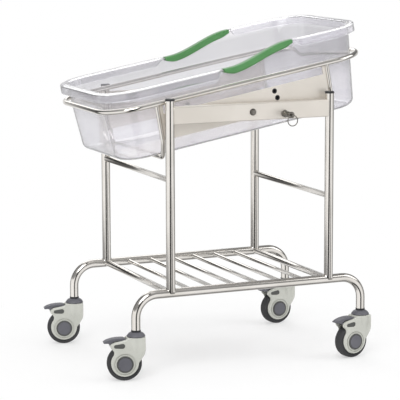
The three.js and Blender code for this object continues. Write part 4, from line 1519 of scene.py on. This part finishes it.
# %% Pedal
PEDAL_CORNER, PEDAL_EDGE = 0.0016, 0.0012
HINGE_X, HINGE_Z, HINGE_RADIUS, HINGE_SINK = 0.0315, 0.1085, 0.0025, 0.004
PEDAL = [
    (0.0335, 0.1172), (0.0286, 0.113), (0.028, 0.109), (0.0288, 0.1055), (0.032, 0.1038),
    (0.038, 0.1038), (0.044, 0.106), (0.048, 0.110), (0.0585, 0.110), (0.0665, 0.1055),
    (0.0675, 0.0995), (0.0715, 0.099), (0.0745, 0.103), (0.078, 0.1042), (0.0885, 0.1038),
    (0.090, 0.1064), (0.081, 0.1120), (0.067, 0.1160), (0.0555, 0.1176), (0.042, 0.1180),
]
pedal = flat_sheet(PEDAL, -PEDAL_HALF, PEDAL_HALF, range(len(PEDAL)), PEDAL_CORNER)
soften(pedal, PEDAL_EDGE, 3, 60)
hinge_half = SLOT_HALF + HINGE_SINK
joined(pedal, cross_pin(HINGE_X, HINGE_Z, -hinge_half, hinge_half, HINGE_RADIUS, 24))
print("pedal:", len(pedal.data.polygons), "faces")

# %% [markdown]
# The stem above the housing is turned: a kingpin, a dark dome over the swivel bearing and a boss
# that goes up into the leg. A black collar closes the foot of the leg.

# %% Stem and collar
KINGPIN_RADIUS, KINGPIN_FOOT = 0.007, 0.104
BOSS_RADIUS, PLUG_RADIUS = 0.0118, 0.010
# Steps in from the neck's radius and up from its top.
DOME = [
    (0.0026, 0.0), (0.0026, 0.0012), (0.0004, 0.0012), (0.0, 0.0016), (0.0, 0.0026),
    (0.0008, 0.0036), (0.0022, 0.0058), (0.0052, 0.0092), (0.0090, 0.0115),
]
COLLAR_UP, COLLAR_OVER = 0.0122, 0.0018

dome_low = NECK_TOP + SEAT_GAP
leg_foot = rail_low.z
stem_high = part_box("castor_front_left_stem")[1].z
dome = turned(
    [
        (KINGPIN_RADIUS, KINGPIN_FOOT), (KINGPIN_RADIUS, dome_low),
        *((NECK_RADIUS - inward, dome_low + up) for inward, up in DOME),
        (BOSS_RADIUS + 0.0008, dome_low + 0.0128), (BOSS_RADIUS, dome_low + 0.0134),
        (BOSS_RADIUS, leg_foot - SEAT_GAP), (PLUG_RADIUS, leg_foot - SEAT_GAP),
        (PLUG_RADIUS, stem_high - 0.001), (PLUG_RADIUS - 0.001, stem_high),
    ],
    64,
)
collar_low, collar_high = dome_low + COLLAR_UP, leg_foot + COLLAR_OVER
collar = turned(
    [
        (sleeve_in, collar_low), (sleeve_out, collar_low), (sleeve_out, collar_high - 0.0004),
        (sleeve_out - 0.0003, collar_high), (sleeve_in, collar_high),
    ],
    64, hollow=True,
)
print("stem:", len(dome.data.polygons), "faces, collar", len(collar.data.polygons))

# %% [markdown]
# The finished castor is copied to each leg. The axis of the frame's roll joint says how far each
# one has swung round.

# %% Place the castors
# Piece, word in its name, body that it rides on, finish, slot and node that it stands for.
CASTOR_PIECES = [
    (housing, "fork", "castor", pale, "pale_plastic", "housing"),
    # The window plate's dark grey is painted shade for the window's shadowed inside.
    (window_shade_plate, "window", "castor", painted_shade_grey, "grey_plastic", None),
    (axle, "hub", "castor", grey, "grey_plastic", "axle"),
    (tyre_round, "tyre", "wheel", tyre, "tyre_rubber", "wheel"),
    (disc, "disc", "wheel", grey, "grey_plastic", None),
    (pedal, "brake", "brake", grey, "grey_plastic", "pedal"),
    # The hub ring's dark grey is painted shade round the hub cap.
    (hub_shade_ring, "hub_shade_ring", "castor", painted_shade_grey, "grey_plastic", None),
    (dome, "dome", None, grey, "grey_plastic", "stem"),
    (collar, "collar", None, black, "black_plastic", None),
]
for place in PLACES:
    swivel = joints[f"swivel_{place}"]["pos_m"]
    across = joints[f"roll_{place}"]["axis"]
    swing = math.atan2(-across[0], across[1])
    stand = moved(swivel[0], swivel[1]) @ Matrix.Rotation(swing, 4, "Z")
    for piece, word, rides, material, slot, node in CASTOR_PIECES:
        body = f"{rides}_{place}" if rides else "frame"
        stands_for = [f"castor_{place}_{node}"] if node else []
        hand_over(copy_of(piece, stand), f"{word}_{place}", body, material, slot, *stands_for)
for piece, *_ in CASTOR_PIECES:
    bpy.data.objects.remove(piece)
print("castors:", len(PLACES))

# %% Sizes of the finished scene
low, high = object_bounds()
